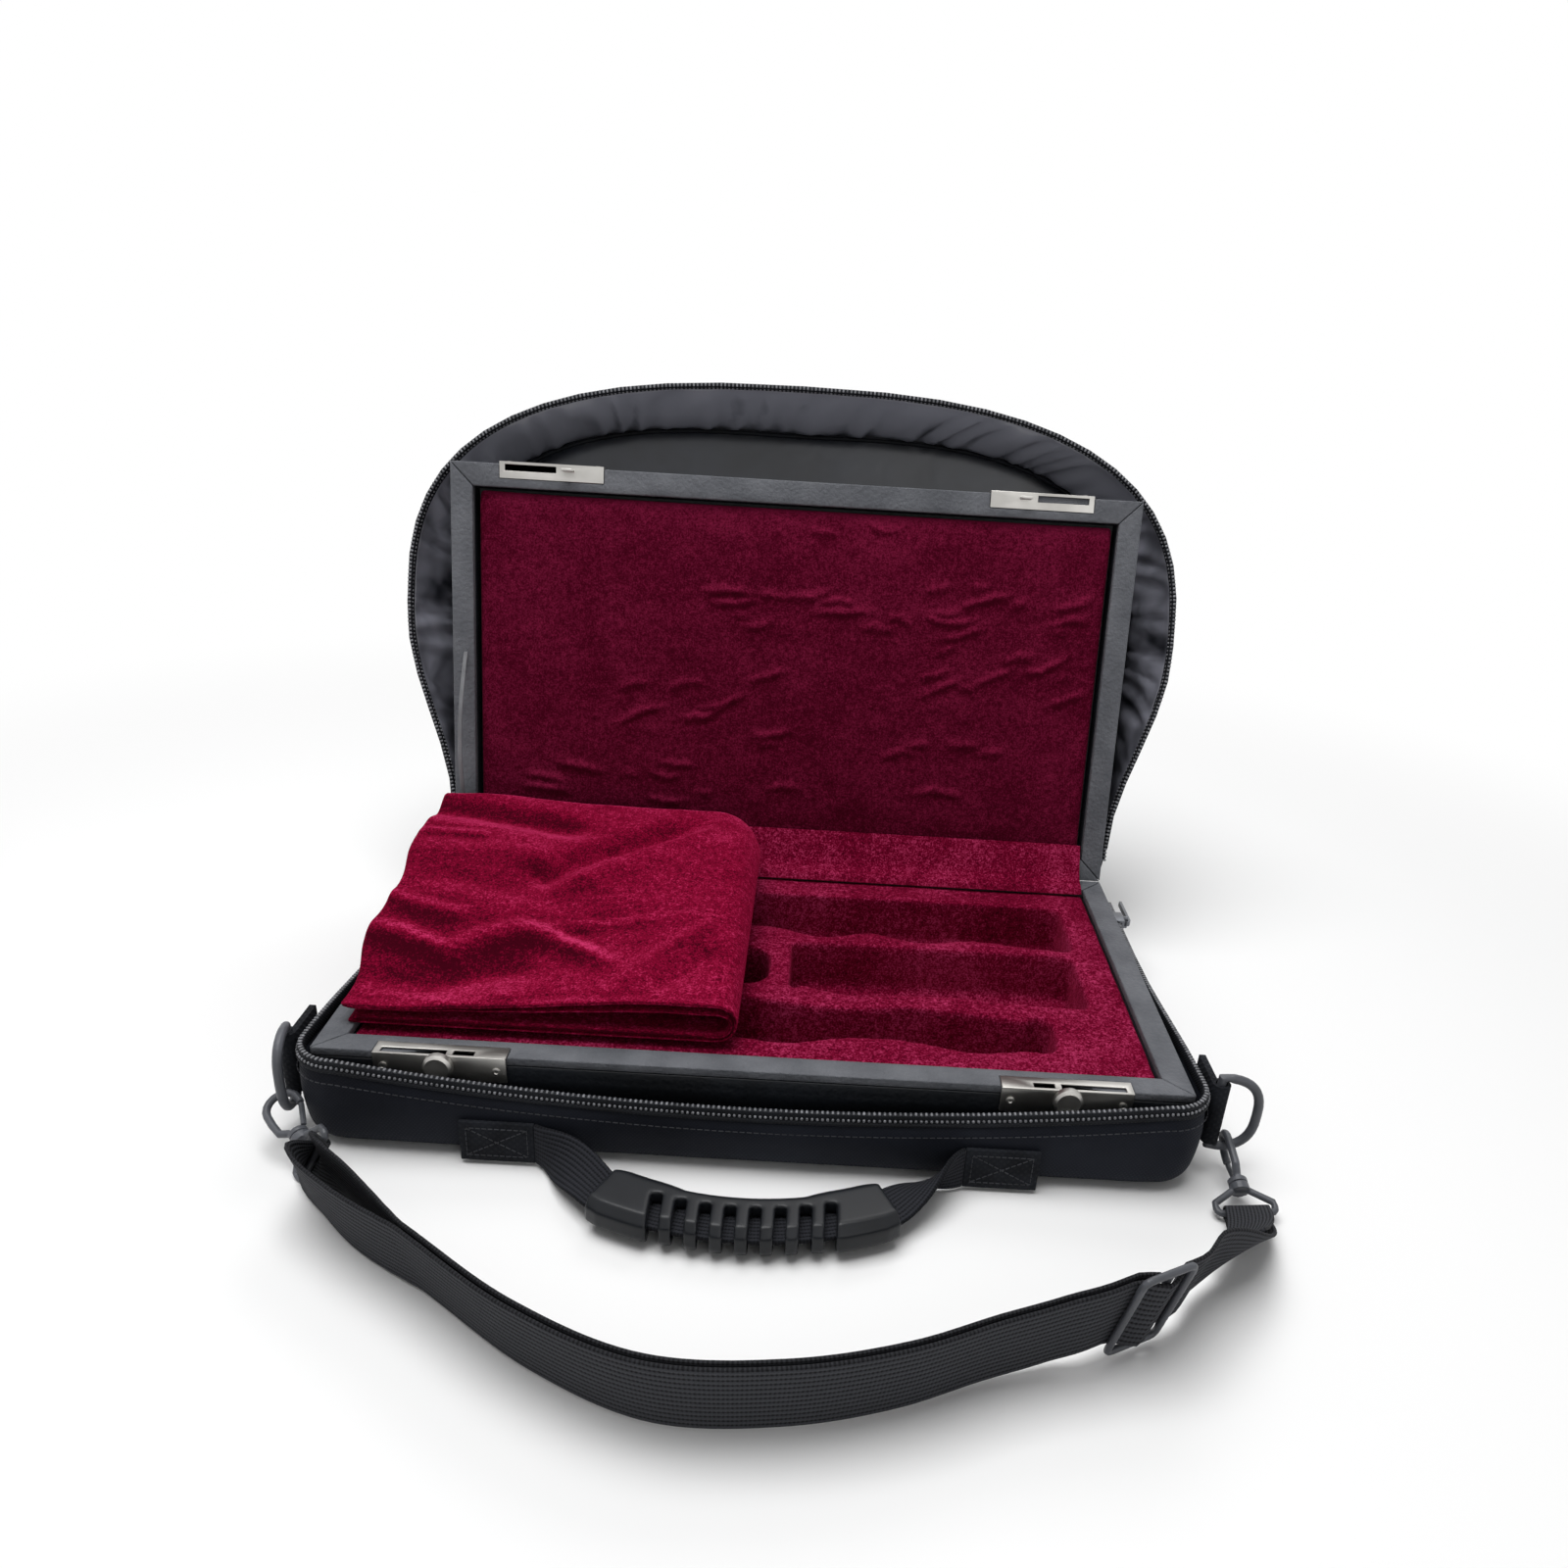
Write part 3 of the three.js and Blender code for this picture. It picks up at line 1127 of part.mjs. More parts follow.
function shoulderStrap() {
  const stations = strapStations();
  const lay = (station, offset, outward) => ({
    at: station.at.clone().addScaledVector(station.outward, offset),
    u: station.across, v: station.outward.clone().multiplyScalar(outward), scale: station.scale });
  const wrap = (station, way) => Array.from({ length: 7 }, (_, i) => {
    const turn = ((i + 1) / 8) * Math.PI;
    const v = station.outward.clone().multiplyScalar(-way * Math.cos(turn)).addScaledVector(
      station.ahead, -way * Math.sin(turn));
    return { at: station.at.clone().addScaledVector(v, strapWrap), u: station.across, v, scale: station.scale };
  });
  const behind = stations.filter(({ fromSlider }) => fromSlider < 0).reverse();
  const endLoop = stations.filter(({ fromRight }) => fromRight < strapEndLoop).reverse();
  const first = stations[0];
  const last = stations[stations.length - 1];
  const endOffset = ({ fromRight }) => -mix(strapWrap, strapPitch - frontOffset({ s: strapBulgeLength, fromRight,
    fromSlider: sliderLength }), smooth(0, strapEndLoop, fromRight))
    - strapBulge * Math.sin((fromRight / strapEndLoop) * Math.PI);
  const places = [
    ...behind.map((station) => lay(station, backOffset(station), -1)),
    ...wrap(first, 1),
    ...stations.map((station) => lay(station, frontOffset(station), 1)),
    ...wrap(last, -1),
    ...endLoop.map((station) => lay(station, endOffset(station), -1)),
  ];
  return sweep(flatSection(strapWidth, strapThickness), places);
}

// The slider: a frame with a bar across its middle, in front of the strap
function strapSlider() {
  const station = strapStations().reduce((best, one) => (
    Math.abs(one.fromSlider) < Math.abs(best.fromSlider) ? one : best));
  const [l, h, r] = [sliderLength / 2 - sliderBar / 2, sliderHeight / 2 - sliderBar / 2, sliderBar];
  const frame = new THREE.Shape();
  frame.moveTo(-l + r, -h);
  frame.lineTo(l - r, -h);
  frame.quadraticCurveTo(l, -h, l, -h + r);
  frame.lineTo(l, h - r);
  frame.quadraticCurveTo(l, h, l - r, h);
  frame.lineTo(-l + r, h);
  frame.quadraticCurveTo(-l, h, -l, h - r);
  frame.lineTo(-l, -h + r);
  frame.quadraticCurveTo(-l, -h, -l + r, -h);
  const points = frame.getPoints(3).slice(0, -1).map((p) => v3(p.x, p.y, 0));
  const ring = solid(sweep(roundSection(sliderBar / 2, 8), planarPlaces(points, v3(0, 0, 1), true), true));
  const middle = solid(bar(v3(0, -h, 0), v3(0, h, 0), sliderBar / 2, 8));
  const matrix = new THREE.Matrix4().makeBasis(station.ahead, station.across, station.outward)
    .setPosition(station.at.clone().addScaledVector(station.outward, sliderOffset));
  return shape3(ring.add(middle)).applyMatrix4(matrix);
}

// A zip slider: a saddle over the zip's edge, with a pin for the pull on its outer side
const sliderOuterX = zipThickness / 2 + seatGap + zipSliderWall;
const pullRing = pullPinRadius + seatGap + pullThickness * 0.7;
const pullPinX = sliderOuterX + seatGap + pullRing;

function zipSliderPlace(side) {
  const y = bagBackY - bagBackCornerRadius - zipHeight - zipSliderLength * 2;
  return v3(side * (bagOuterX - bagWall / 2), y, zipTop(side * bagOuterX, y) - zipHeight / 2);
}

function zipSlider(side) {
  const at = zipSliderPlace(side);
  const half = zipSliderLength / 2;
  const roof = zipHeight / 2 + seatGap;
  const body = solid(block([-sliderOuterX, -half, -zipHeight / 2], [sliderOuterX, half, roof + zipSliderWall]));
  const slot = solid(block([-sliderOuterX + zipSliderWall, -zipSliderLength, -zipHeight],
    [sliderOuterX - zipSliderWall, zipSliderLength, roof]));
  const pinX = side * pullPinX;
  const pin = solid(bar(v3(pinX, 0, -zipHeight / 2), v3(pinX, 0, roof + zipSliderWall), pullPinRadius, 10));
  const xs = [pinX, side * (sliderOuterX - zipSliderWall / 2)].sort((a, b) => a - b);
  const lugs = [roof, -zipHeight / 2].map((z) => (
    solid(block([xs[0], -pullPinRadius, z], [xs[1], pullPinRadius, z + zipSliderWall]))));
  return shape3(join(body.subtract(slot), [pin, ...lugs])).translate(at.x, at.y, at.z);
}

// The pull: a flat tongue with an eye round the slider's pin, lying back along the bag's side
function zipPull(side) {
  const at = zipSliderPlace(side);
  const low = zipSliderWall - zipHeight / 2 + seatGap;
  const outline = new THREE.Shape();
  outline.absarc(0, 0, pullRing, Math.PI * 0.5, Math.PI * 2, false);
  outline.lineTo(pullRing, pullLength);
  outline.lineTo(pullRing - pullThickness, pullLength);
  outline.lineTo(pullRing - pullThickness, pullRing);
  outline.closePath();
  const mirrored = (path) => path.getPoints(8).map((p) => new THREE.Vector2(p.x * side, p.y));
  const tongue = new THREE.Shape(mirrored(outline));
  const hole = new THREE.Path();
  hole.absarc(0, 0, pullPinRadius + seatGap, 0, Math.PI * 2, true);
  tongue.holes.push(new THREE.Path(mirrored(hole)));
  const geometry = new THREE.ExtrudeGeometry(tongue, { depth: zipHeight / 2 - low, bevelEnabled: false });
  return geometry.translate(at.x + side * pullPinX, at.y, at.z + low);
}

// The cloth, folded once: two thick layers joined by a fold along the right
function velvetCloth() {
  const rowCount = 15;
  const layerSteps = 11;
  const foldSteps = 6;
  const rows = Array.from({ length: rowCount + 1 }, (_, i) => {
    const v = i / rowCount;
    const y = mix(clothFrontY, clothBackY, v);
    const layer = mix(clothLayer, clothBackLayer, smooth(0.1, 0.95, v));
    const low = rimZ + seatGap + layer / 2 + clothBackRise * smooth(0.9, 1, v);
    const crease = clothCrease * (smooth(0.28, 0.36, v) - smooth(0.36, 0.46, v));
    const top = rimZ + mix(clothFrontHeight, clothBackHeight, smooth(-0.1, 0.9, v)) - layer / 2 - crease;
    const left = clothLeftX - clothLeftFlare * smooth(0.1, 0.9, v);
    const right = clothRightX - clothRightDraw * smooth(0.7, 1.05, v) ** 2;
    const r = (top - low) / 2;
    const shut = (share) => mix(0.42, 1, Math.max(smooth(0, 0.55, share), smooth(0, 0.5, v)));
    const layers = Array.from({ length: layerSteps + 1 }, (_, k) => k / layerSteps);
    const lower = layers.map((share) => v3(mix(left, right - r - layer / 2, share), y, low));
    const fold = Array.from({ length: foldSteps - 1 }, (_, k) => {
      const turn = ((k + 1) / foldSteps) * Math.PI - Math.PI / 2;
      return v3(right - r - layer / 2 + Math.cos(turn) * r, y, low + r + Math.sin(turn) * r);
    });
    const upper = layers.map((share) => v3(mix(left, right - r - layer / 2, share), y,
      low + r * 2 * shut(share) - ridge(share, v))).reverse();
    return [...lower, ...fold, ...upper];
  });
  return thickSheet(rows, (v) => mix(clothLayer, clothBackLayer, smooth(0.1, 0.95, v)) / 2);
}

// The soft ridges that run over the cloth's top, as a drop from its height
function ridge(share, v) {
  return clothCrease * 0.5 * (1 + Math.sin(share * 9 + v * 7)) * smooth(0, 0.2, v) * (1 - smooth(0.85, 1, v));
}

// The whole model: what stands still, then the lid of the case and the lid of the bag
const caseLid = new THREE.Group();
caseLid.position.set(0, halfDepth, hingeZ);
caseLid.rotation.x = -lidOpen;
const bagCover = new THREE.Group();
bagCover.position.set(0, bagBackY, bagHingeZ);
bagCover.rotation.x = -bagLidOpen;
model.add(caseLid, bagCover);

function placed(geometry, matrix) {
  return geometry.clone().applyMatrix4(matrix);
}

addPiece(model, 'bag_base', bagBase(), 'nylon');
addPiece(model, 'bag_zip_base', zipBase(), 'zip');
addPiece(model, 'bag_hinge_strip', bagHingeStrip(), 'nylon');
addPiece(model, 'base_shell', baseShell(), 'leatherette');
rimStrips('base', rimZ - rimHeight, rimZ, rimZ, 1, 0, true)
  .forEach(([name, geometry]) => addPiece(model, name, geometry, 'rim'));
addPiece(model, 'base_tray', baseTray(), 'velvet');
addPiece(model, 'hinge_cover', velvetOverHinge(), 'velvet');
addPiece(model, 'lid_stay', lidStayRibbon(), 'ribbon');
addPiece(model, 'velvet_cloth', velvetCloth(), 'velvet');
const hingeLeafBase = addPiece(model, 'hinge_leaf_base', hingeLeaf(0, 1), 'steel');
const pin = addPiece(model, 'hinge_pin', hingePin(), 'steel');
[hingeLeafBase, pin].forEach((piece) => piece.position.set(0, halfDepth, hingeZ));
addPiece(model, 'handle_grip', handleGrip(), 'rubber');
addPiece(model, 'shoulder_strap', shoulderStrap(), 'webbing');
addPiece(model, 'strap_slider', strapSlider(), 'plastic');

Object.entries(sideOf).forEach(([hand, side]) => {
  const { hook, eye } = hookFrame(hand);
  addPiece(model, `latch_plate_${hand}`, latchPlate(side), 'nickel');
  addPiece(model, `latch_bolt_${hand}`, latchBolt(side), 'steel');
  addPiece(model, `latch_knob_${hand}`, latchKnob(side), 'nickel');
  addPiece(model, `handle_patch_${hand}`, handlePatch(side), 'webbing');
  addPiece(model, `handle_web_${hand}`, handleWeb(side), 'webbing');
  addPiece(model, `strap_tab_${hand}`, strapTab(side), 'webbing');
  addPiece(model, `d_ring_${hand}`, ringLoop(hand), 'plastic');
  addPiece(model, `snap_hook_${hand}`, placed(snapHookBody(), hook), 'plastic');
  addPiece(model, `snap_gate_${hand}`, placed(snapGate(), hook), 'plastic');
  addPiece(model, `swivel_eye_${hand}`, placed(swivelEye(), eye), 'plastic');
  addPiece(model, `zip_slider_${hand}`, zipSlider(side), 'steel');
  addPiece(model, `zip_pull_${hand}`, zipPull(side), 'steel');
  addPiece(caseLid, `keeper_${hand}`, keeper(side), 'nickel');
});

addPiece(caseLid, 'lid_shell', lidShell(), 'leatherette');
rimStrips('lid', seamGap / 2, seamGap / 2 + rimHeight, seamGap / 2, -1, -halfDepth, false)
  .forEach(([name, geometry]) => addPiece(caseLid, name, geometry, 'rim'));
addPiece(caseLid, 'lid_panel', lidPanel(), 'velvet');
addPiece(caseLid, 'hinge_leaf_lid', hingeLeaf(1, -1), 'steel');
addPiece(bagCover, 'bag_lid_shell', bagLid(), 'nylon');
addPiece(bagCover, 'bag_zip_lid', zipLid(), 'zip');

export default model;
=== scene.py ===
# An oboe case: a hard case with a velvet lining, open in its soft zip bag.
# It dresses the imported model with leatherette, velvet, nylon, webbing and metal.
# Metres, +Z up, in the same frame as the model. mm() turns millimetres into metres.
import json
import math
import random

import bpy
from mathutils import Matrix, Vector, noise


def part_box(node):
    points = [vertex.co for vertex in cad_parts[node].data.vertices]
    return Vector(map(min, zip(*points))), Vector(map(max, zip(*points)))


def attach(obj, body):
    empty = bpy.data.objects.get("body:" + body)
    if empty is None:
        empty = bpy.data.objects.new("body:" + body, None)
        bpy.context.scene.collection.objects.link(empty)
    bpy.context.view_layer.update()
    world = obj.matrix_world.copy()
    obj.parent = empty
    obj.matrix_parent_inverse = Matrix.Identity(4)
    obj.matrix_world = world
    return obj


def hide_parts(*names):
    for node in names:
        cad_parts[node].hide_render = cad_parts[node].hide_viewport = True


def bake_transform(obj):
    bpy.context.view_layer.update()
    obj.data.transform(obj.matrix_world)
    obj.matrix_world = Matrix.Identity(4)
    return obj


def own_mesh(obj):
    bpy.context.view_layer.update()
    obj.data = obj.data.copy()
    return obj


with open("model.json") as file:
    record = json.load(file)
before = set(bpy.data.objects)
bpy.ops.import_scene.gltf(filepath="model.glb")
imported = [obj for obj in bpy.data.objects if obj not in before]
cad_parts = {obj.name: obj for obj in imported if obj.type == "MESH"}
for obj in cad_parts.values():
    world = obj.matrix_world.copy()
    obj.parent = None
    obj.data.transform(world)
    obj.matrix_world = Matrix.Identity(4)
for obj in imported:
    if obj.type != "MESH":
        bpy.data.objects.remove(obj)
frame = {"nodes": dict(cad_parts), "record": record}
nodes = frame["nodes"]
bodies = frame["record"]["behaviour"]["bodies"]
bodyOf = {node: body for body, members in bodies.items() for node in members}
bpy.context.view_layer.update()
bpy.ops.object.select_all(action="DESELECT")
print("frame loaded with", len(nodes), "nodes")


def mm(value):
    return value / 1000


def mix(low, high, share):
    return low + (high - low) * share


def clamp(low, value, high):
    return min(max(value, low), high)


def smoothStep(low, high, at):
    # from 0 at low to 1 at high, which may be the smaller one
    share = clamp(0, (at - low) / (high - low), 1)
    return share * share * (3 - 2 * share)


def easedOver(limits, metres):
    # the same between two limits in millimetres, for a place in metres
    return smoothStep(mm(limits[0]), mm(limits[1]), metres)


def hexLinear(text):
    channels = [int(text[i:i + 2], 16) / 255 for i in (1, 3, 5)]
    return [c / 12.92 if c <= 0.04045 else ((c + 0.055) / 1.055) ** 2.4 for c in channels] + [1]


# Small tools for the modelling

def activate(piece):
    bpy.ops.object.select_all(action="DESELECT")
    piece.select_set(True)
    bpy.context.view_layer.objects.active = piece


def applyModifier(piece, kind, **settings):
    activate(piece)
    modifier = piece.modifiers.new(kind.title(), kind)
    for key, value in settings.items():
        setattr(modifier, key, value)
    bpy.ops.object.modifier_apply(modifier=modifier.name)


# Rounds the edges that turn by more than degrees, over width millimetres
def bevelEdges(piece, width, segments, degrees):
    applyModifier(piece, "BEVEL", width=mm(width), segments=segments, limit_method="ANGLE",
                  angle_limit=math.radians(degrees))


def subdivide(piece, levels, **settings):
    applyModifier(piece, "SUBSURF", levels=levels, render_levels=levels, **settings)


def remesh(piece, cell, passes=0):
    applyModifier(piece, "REMESH", mode="VOXEL", voxel_size=mm(cell))
    if passes:
        applyModifier(piece, "SMOOTH", factor=0.5, iterations=passes)


def copyOfNode(node, name):
    piece = bpy.data.objects.new(name, nodes[node].data.copy())
    bpy.context.scene.collection.objects.link(piece)
    piece.data.materials.clear()
    activate(piece)
    if piece.data.has_custom_normals:
        bpy.ops.mesh.customdata_custom_splitnormals_clear()
    bpy.ops.object.mode_set(mode="EDIT")
    bpy.ops.mesh.select_all(action="SELECT")
    bpy.ops.mesh.remove_doubles(threshold=mm(0.01))
    bpy.ops.mesh.tris_convert_to_quads(face_threshold=math.radians(30), shape_threshold=math.radians(40))
    bpy.ops.object.mode_set(mode="OBJECT")
    return piece


def shadeByAngle(piece, degrees):
    activate(piece)
    bpy.ops.object.shade_smooth_by_angle(angle=math.radians(degrees))


def shadeSmooth(piece):
    activate(piece)
    bpy.ops.object.shade_smooth()


def finishPiece(piece, material, body, replaced=()):
    if material:
        piece.data.materials.clear()
        piece.data.materials.append(material)
    if body:
        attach(piece, body)
    if replaced:
        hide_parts(*replaced)
    return piece


def meshPiece(name, vertices, faces):
    mesh = bpy.data.meshes.new(name)
    mesh.from_pydata([tuple(point) for point in vertices], [], faces)
    mesh.validate()
    piece = bpy.data.objects.new(name, mesh)
    bpy.context.scene.collection.objects.link(piece)
    return piece


def pathCurve(name, points, closed=False):
    curve = bpy.data.curves.new(name, "CURVE")
    curve.dimensions = "3D"
    curve.twist_mode = "Z_UP"
    spline = curve.splines.new("POLY")
    spline.points.add(len(points) - 1)
    for place, point in zip(spline.points, points):
        place.co = (*point, 1)
    spline.use_cyclic_u = closed
    path = bpy.data.objects.new(name, curve)
    bpy.context.scene.collection.objects.link(path)
    return path


# A cord along a path, its radius in millimetres
def tubeAlong(name, points, radius, closed=False):
    path = pathCurve(name, points, closed)
    path.data.bevel_depth = mm(radius)
    path.data.bevel_resolution = 3
    path.data.use_fill_caps = not closed
    activate(path)
    bpy.ops.object.convert(target="MESH")
    tube = bpy.context.object
    bpy.ops.object.shade_smooth()
    return tube


# A small rounded bar, laid down again and again along a path. Its size and pitch are in millimetres
def rowAlong(name, points, size, pitch):
    path = pathCurve(name + "Path", points)
    bpy.ops.mesh.primitive_cube_add(size=1, location=(mm(pitch) / 2, 0, 0), scale=[mm(side) for side in size])
    row = bpy.context.object
    row.name = row.data.name = name
    bpy.ops.object.transform_apply(location=True, rotation=False, scale=True)
    applyModifier(row, "BEVEL", width=mm(min(size)) * 0.4, segments=2, limit_method="NONE")
    applyModifier(row, "ARRAY", fit_type="FIT_CURVE", curve=path, use_relative_offset=False,
                  use_constant_offset=True, constant_offset_displace=(mm(pitch), 0, 0))
    applyModifier(row, "CURVE", object=path, deform_axis="POS_X")
    bpy.ops.object.shade_smooth()
    bpy.data.objects.remove(path)
    return row


def joinPieces(name, parts):
    bpy.ops.object.select_all(action="DESELECT")
    for part in parts:
        part.select_set(True)
    bpy.context.view_layer.objects.active = parts[0]
    bpy.ops.object.join()
    parts[0].name = parts[0].data.name = name
    return parts[0]


def moveMesh(piece, matrix):
    piece.data.transform(matrix)
    piece.data.update()
    return piece


def moveVertices(piece, change):
    for vertex, normal in zip(piece.data.vertices, [v.normal.copy() for v in piece.data.vertices]):
        vertex.co = change(vertex.co.copy(), normal)
    piece.data.update()


# Painted light and shade on a piece's surface at each point: below 0 painted shade, above 0 painted light
def paintLightAndShade(piece, lightAndShadeAt):
    tone = piece.data.attributes.new("pileTone", "FLOAT", "POINT")
    for vertex, spot in zip(piece.data.vertices, tone.data):
        spot.value = lightAndShadeAt(vertex.co, vertex.normal)


# Small tools for the materials

def addNode(tree, kind, settings=None, links=None):
    node = tree.nodes.new("ShaderNode" + kind)
    for key, value in (settings or {}).items():
        if key == "stops":
            stops = node.color_ramp.elements
            stops[0].position, stops[0].color = value[0]
            stops[-1].position, stops[-1].color = value[-1]
            for position, colour in value[1:-1]:
                stops.new(position).color = colour
        elif isinstance(key, int) or key in node.inputs:
            node.inputs[key].default_value = value
        else:
            setattr(node, key, value)
    for key, output in (links or {}).items():
        tree.links.new(output, node.inputs[key])
    return node


def startMaterial(name, **settings):
    material = bpy.data.materials.new(name)
    material.use_nodes = True
    shader = material.node_tree.nodes["Principled BSDF"]
    for key, value in settings.items():
        shader.inputs[key.replace("_", " ")].default_value = value
    place = addNode(material.node_tree, "TexCoord").outputs["Object"]
    return material, material.node_tree, shader, place


# Noise whose spots are about size millimetres wide
def spots(tree, place, size, detail, **settings):
    settings = {"Scale": 1000 / size, "Detail": detail, **settings}
    return addNode(tree, "TexNoise", settings, {"Vector": place}).outputs[0]


# Waves pitch millimetres apart: at scale 1 the texture has 20 / tau waves in a metre
def waves(tree, place, pitch, **settings):
    settings = {"Scale": math.tau * 1000 / pitch / 20, **settings}
    return addNode(tree, "TexWave", settings, {"Vector": place}).outputs["Fac"]


# first times weight, plus second
def addWeighted(tree, weight, first, second):
    return addNode(tree, "Math", {"operation": "MULTIPLY_ADD", 1: weight}, {0: first, 2: second}).outputs[0]


def twoOf(tree, operation, first, second):
    return addNode(tree, "Math", {"operation": operation}, {0: first, 1: second}).outputs[0]


def ranged(tree, value, low=0, high=1, toLow=0, toHigh=1):
    settings = {"From Min": low, "From Max": high, "To Min": toLow, "To Max": toHigh}
    return addNode(tree, "MapRange", settings, {"Value": value}).outputs[0]


def toned(tree, value, *stops):
    stops = [(at, hexLinear(tone)) for at, tone in stops]
    return addNode(tree, "ValToRGB", {"stops": stops}, {"Fac": value}).outputs[0]


# The last links of a material. Its relief is a height, a strength and a depth in millimetres
def endMaterial(material, shader, colour, relief, gloss=None):
    tree = material.node_tree
    height, strength, depth = relief
    bump = addNode(tree, "Bump", {"Strength": strength, "Distance": mm(depth)}, {"Height": height})
    tree.links.new(colour, shader.inputs["Base Color"])
    tree.links.new(bump.outputs[0], shader.inputs["Normal"])
    if gloss is not None:
        tree.links.new(gloss, shader.inputs["Roughness"])
    return material


# Sizes of the object that several pieces share, in millimetres

case = {"halfWidth": 190, "halfDepth": 107, "rimZ": 45, "rimWidth": 12.2, "lidHeight": 38, "lidOpen": 102,
        "gap": 0.3}
bag = {"outerX": 197, "frontY": -119, "backY": 114, "corner": 20, "backCorner": 10, "zipHeight": 5,
       "zipInset": 1.5, "cornerZ": 46, "frontSag": 13, "sagDepth": 0.55, "backZ": 36, "dropDepth": 0.3,
       "hingeZ": 40, "lidOpen": 106}
bagLid = {"halfWidth": 221.5, "hingeHalfWidth": 195, "length": 271.5, "ovalRise": 130, "power": 2.7,
          "start": 4, "flare": (0.16, 0.95)}

caseLidFrame = (Matrix.Translation((0, mm(case["halfDepth"]), mm(case["rimZ"] + case["gap"])))
                @ Matrix.Rotation(math.radians(-case["lidOpen"]), 4, "X"))
bagLidFrame = (Matrix.Translation((0, mm(bag["backY"]), mm(bag["hingeZ"])))
               @ Matrix.Rotation(math.radians(-bag["lidOpen"]), 4, "X"))


# Materials: in each look, the sizes of the pattern are real ones in millimetres

# Grained leatherette, a PVC skin pressed with a pebble grain: glossy pebbles with dull creases between them
def grainedLeatherette(name, look):
    material, tree, shader, place = startMaterial(name, IOR=1.5, Specular_IOR_Level=look["shine"])
    mottle = spots(tree, place, look["mottle"], 3)
    creases = spots(tree, place, look["crease"], 4)
    pebbles = addNode(tree, "TexVoronoi", {"feature": "SMOOTH_F1", "Scale": 1000 / look["pebble"],
                                           "Smoothness": 0.7}, {"Vector": place}).outputs["Distance"]
    height = twoOf(tree, "SUBTRACT", creases, pebbles)
    colour = toned(tree, mottle, (0.35, look["dark"]), (0.65, look["light"]))
    gloss = ranged(tree, pebbles, toLow=look["gloss"], toHigh=look["dull"])
    return endMaterial(material, shader, colour, (height, look["relief"], 0.35), gloss)


blackLeatherette = grainedLeatherette("black grained leatherette", {
    "dark": "#121417", "light": "#1c1f24", "mottle": 30, "pebble": 1.7, "crease": 0.9, "relief": 0.4,
    "gloss": 0.36, "dull": 0.6, "shine": 0.3})
greyLeatherette = grainedLeatherette("grey grained leatherette", {
    "dark": "#54565b", "light": "#66686d", "mottle": 22, "pebble": 2.1, "crease": 0.9, "relief": 1.0,
    "gloss": 0.5, "dull": 0.75, "shine": 0.2})


# Crushed velvet, a cut pile in patches: dark where one looks into it, pink and silvery where it lies over,
# partly from its sheen and partly from painted shade and painted light read from the mesh. Its fine pile
# noise makes light specks, partly the pile's own grain and partly painted sparkle
def crushedVelvet(name, look):
    material, tree, shader, place = startMaterial(
        name, Roughness=0.95, IOR=1.4, Specular_IOR_Level=0.06, Sheen_Weight=look["sheen"],
        Sheen_Roughness=0.34, Sheen_Tint=hexLinear(look["tint"]))
    patches = spots(tree, place, look["patch"], 4, Roughness=0.6, Distortion=0.8)
    streaks = spots(tree, place, look["streak"], 3, Roughness=0.7)
    pile = spots(tree, place, look["pile"], 2)
    pileWeight = 1.5
    lay = addWeighted(tree, look["patchy"], patches, streaks)
    both = addWeighted(tree, pileWeight, pile, lay)
    # the painted light and shade that the piece stores on its mesh
    painted = addNode(tree, "Attribute", {"attribute_name": "pileTone"}).outputs["Fac"]
    shown = addWeighted(tree, look["calm"] * 2, painted, both)
    middle = (1 + pileWeight + look["patchy"]) / 2
    spread = ranged(tree, shown, middle - look["calm"], middle + look["calm"])
    colour = toned(tree, spread, (0.05, look["dark"]), (0.48, look["middle"]), (1.0, look["light"]))
    return endMaterial(material, shader, colour, (both, 0.5, 0.4))


velvetLook = {"dark": "#400014", "middle": "#6c0426", "light": "#b03460", "tint": "#e03868", "sheen": 0.22,
              "patch": 46, "patchy": 0.8, "calm": 0.48, "streak": 3.0, "pile": 0.9}
trayVelvetFinish = crushedVelvet("crushed velvet lining", velvetLook)
# The lid's panel: the tray's velvet painted darker, as the shade of a panel that stands upright, away from
# the overhead light
shadedPanelVelvet = crushedVelvet("crushed velvet panel, painted shade", {
    **velvetLook, "dark": "#2a000c", "middle": "#460219", "light": "#8a1f44", "tint": "#d01c50",
    "sheen": 0.08, "patchy": 0.6, "calm": 0.95})
clothVelvetFinish = crushedVelvet("velvet cloth", {
    **velvetLook, "dark": "#3c0011", "middle": "#7e052b", "light": "#ca3569", "tint": "#e0245e",
    "sheen": 0.32, "patchy": 0.35, "calm": 0.6})


# Woven nylon: a plain weave of matt threads. A real thread is 0.4 mm wide, drawn wider so that it shows
def wovenNylon(name, look):
    material, tree, shader, place = startMaterial(name, IOR=1.53, Specular_IOR_Level=look["shine"])
    mottle = spots(tree, place, look["mottle"], 4)
    flipped = addNode(tree, "Mapping", {"Scale": (-1, 1, 1)}, {"Vector": place}).outputs[0]
    warp, weft = [waves(tree, way, look["thread"], bands_direction="DIAGONAL", Distortion=0.6)
                  for way in (place, flipped)]
    weave = twoOf(tree, "MULTIPLY", warp, weft)
    colour = toned(tree, mottle, (0.3, look["dark"]), (0.7, look["light"]))
    gloss = ranged(tree, weave, toLow=look["dull"], toHigh=look["gloss"])
    return endMaterial(material, shader, colour, (weave, look["relief"], 0.2), gloss)


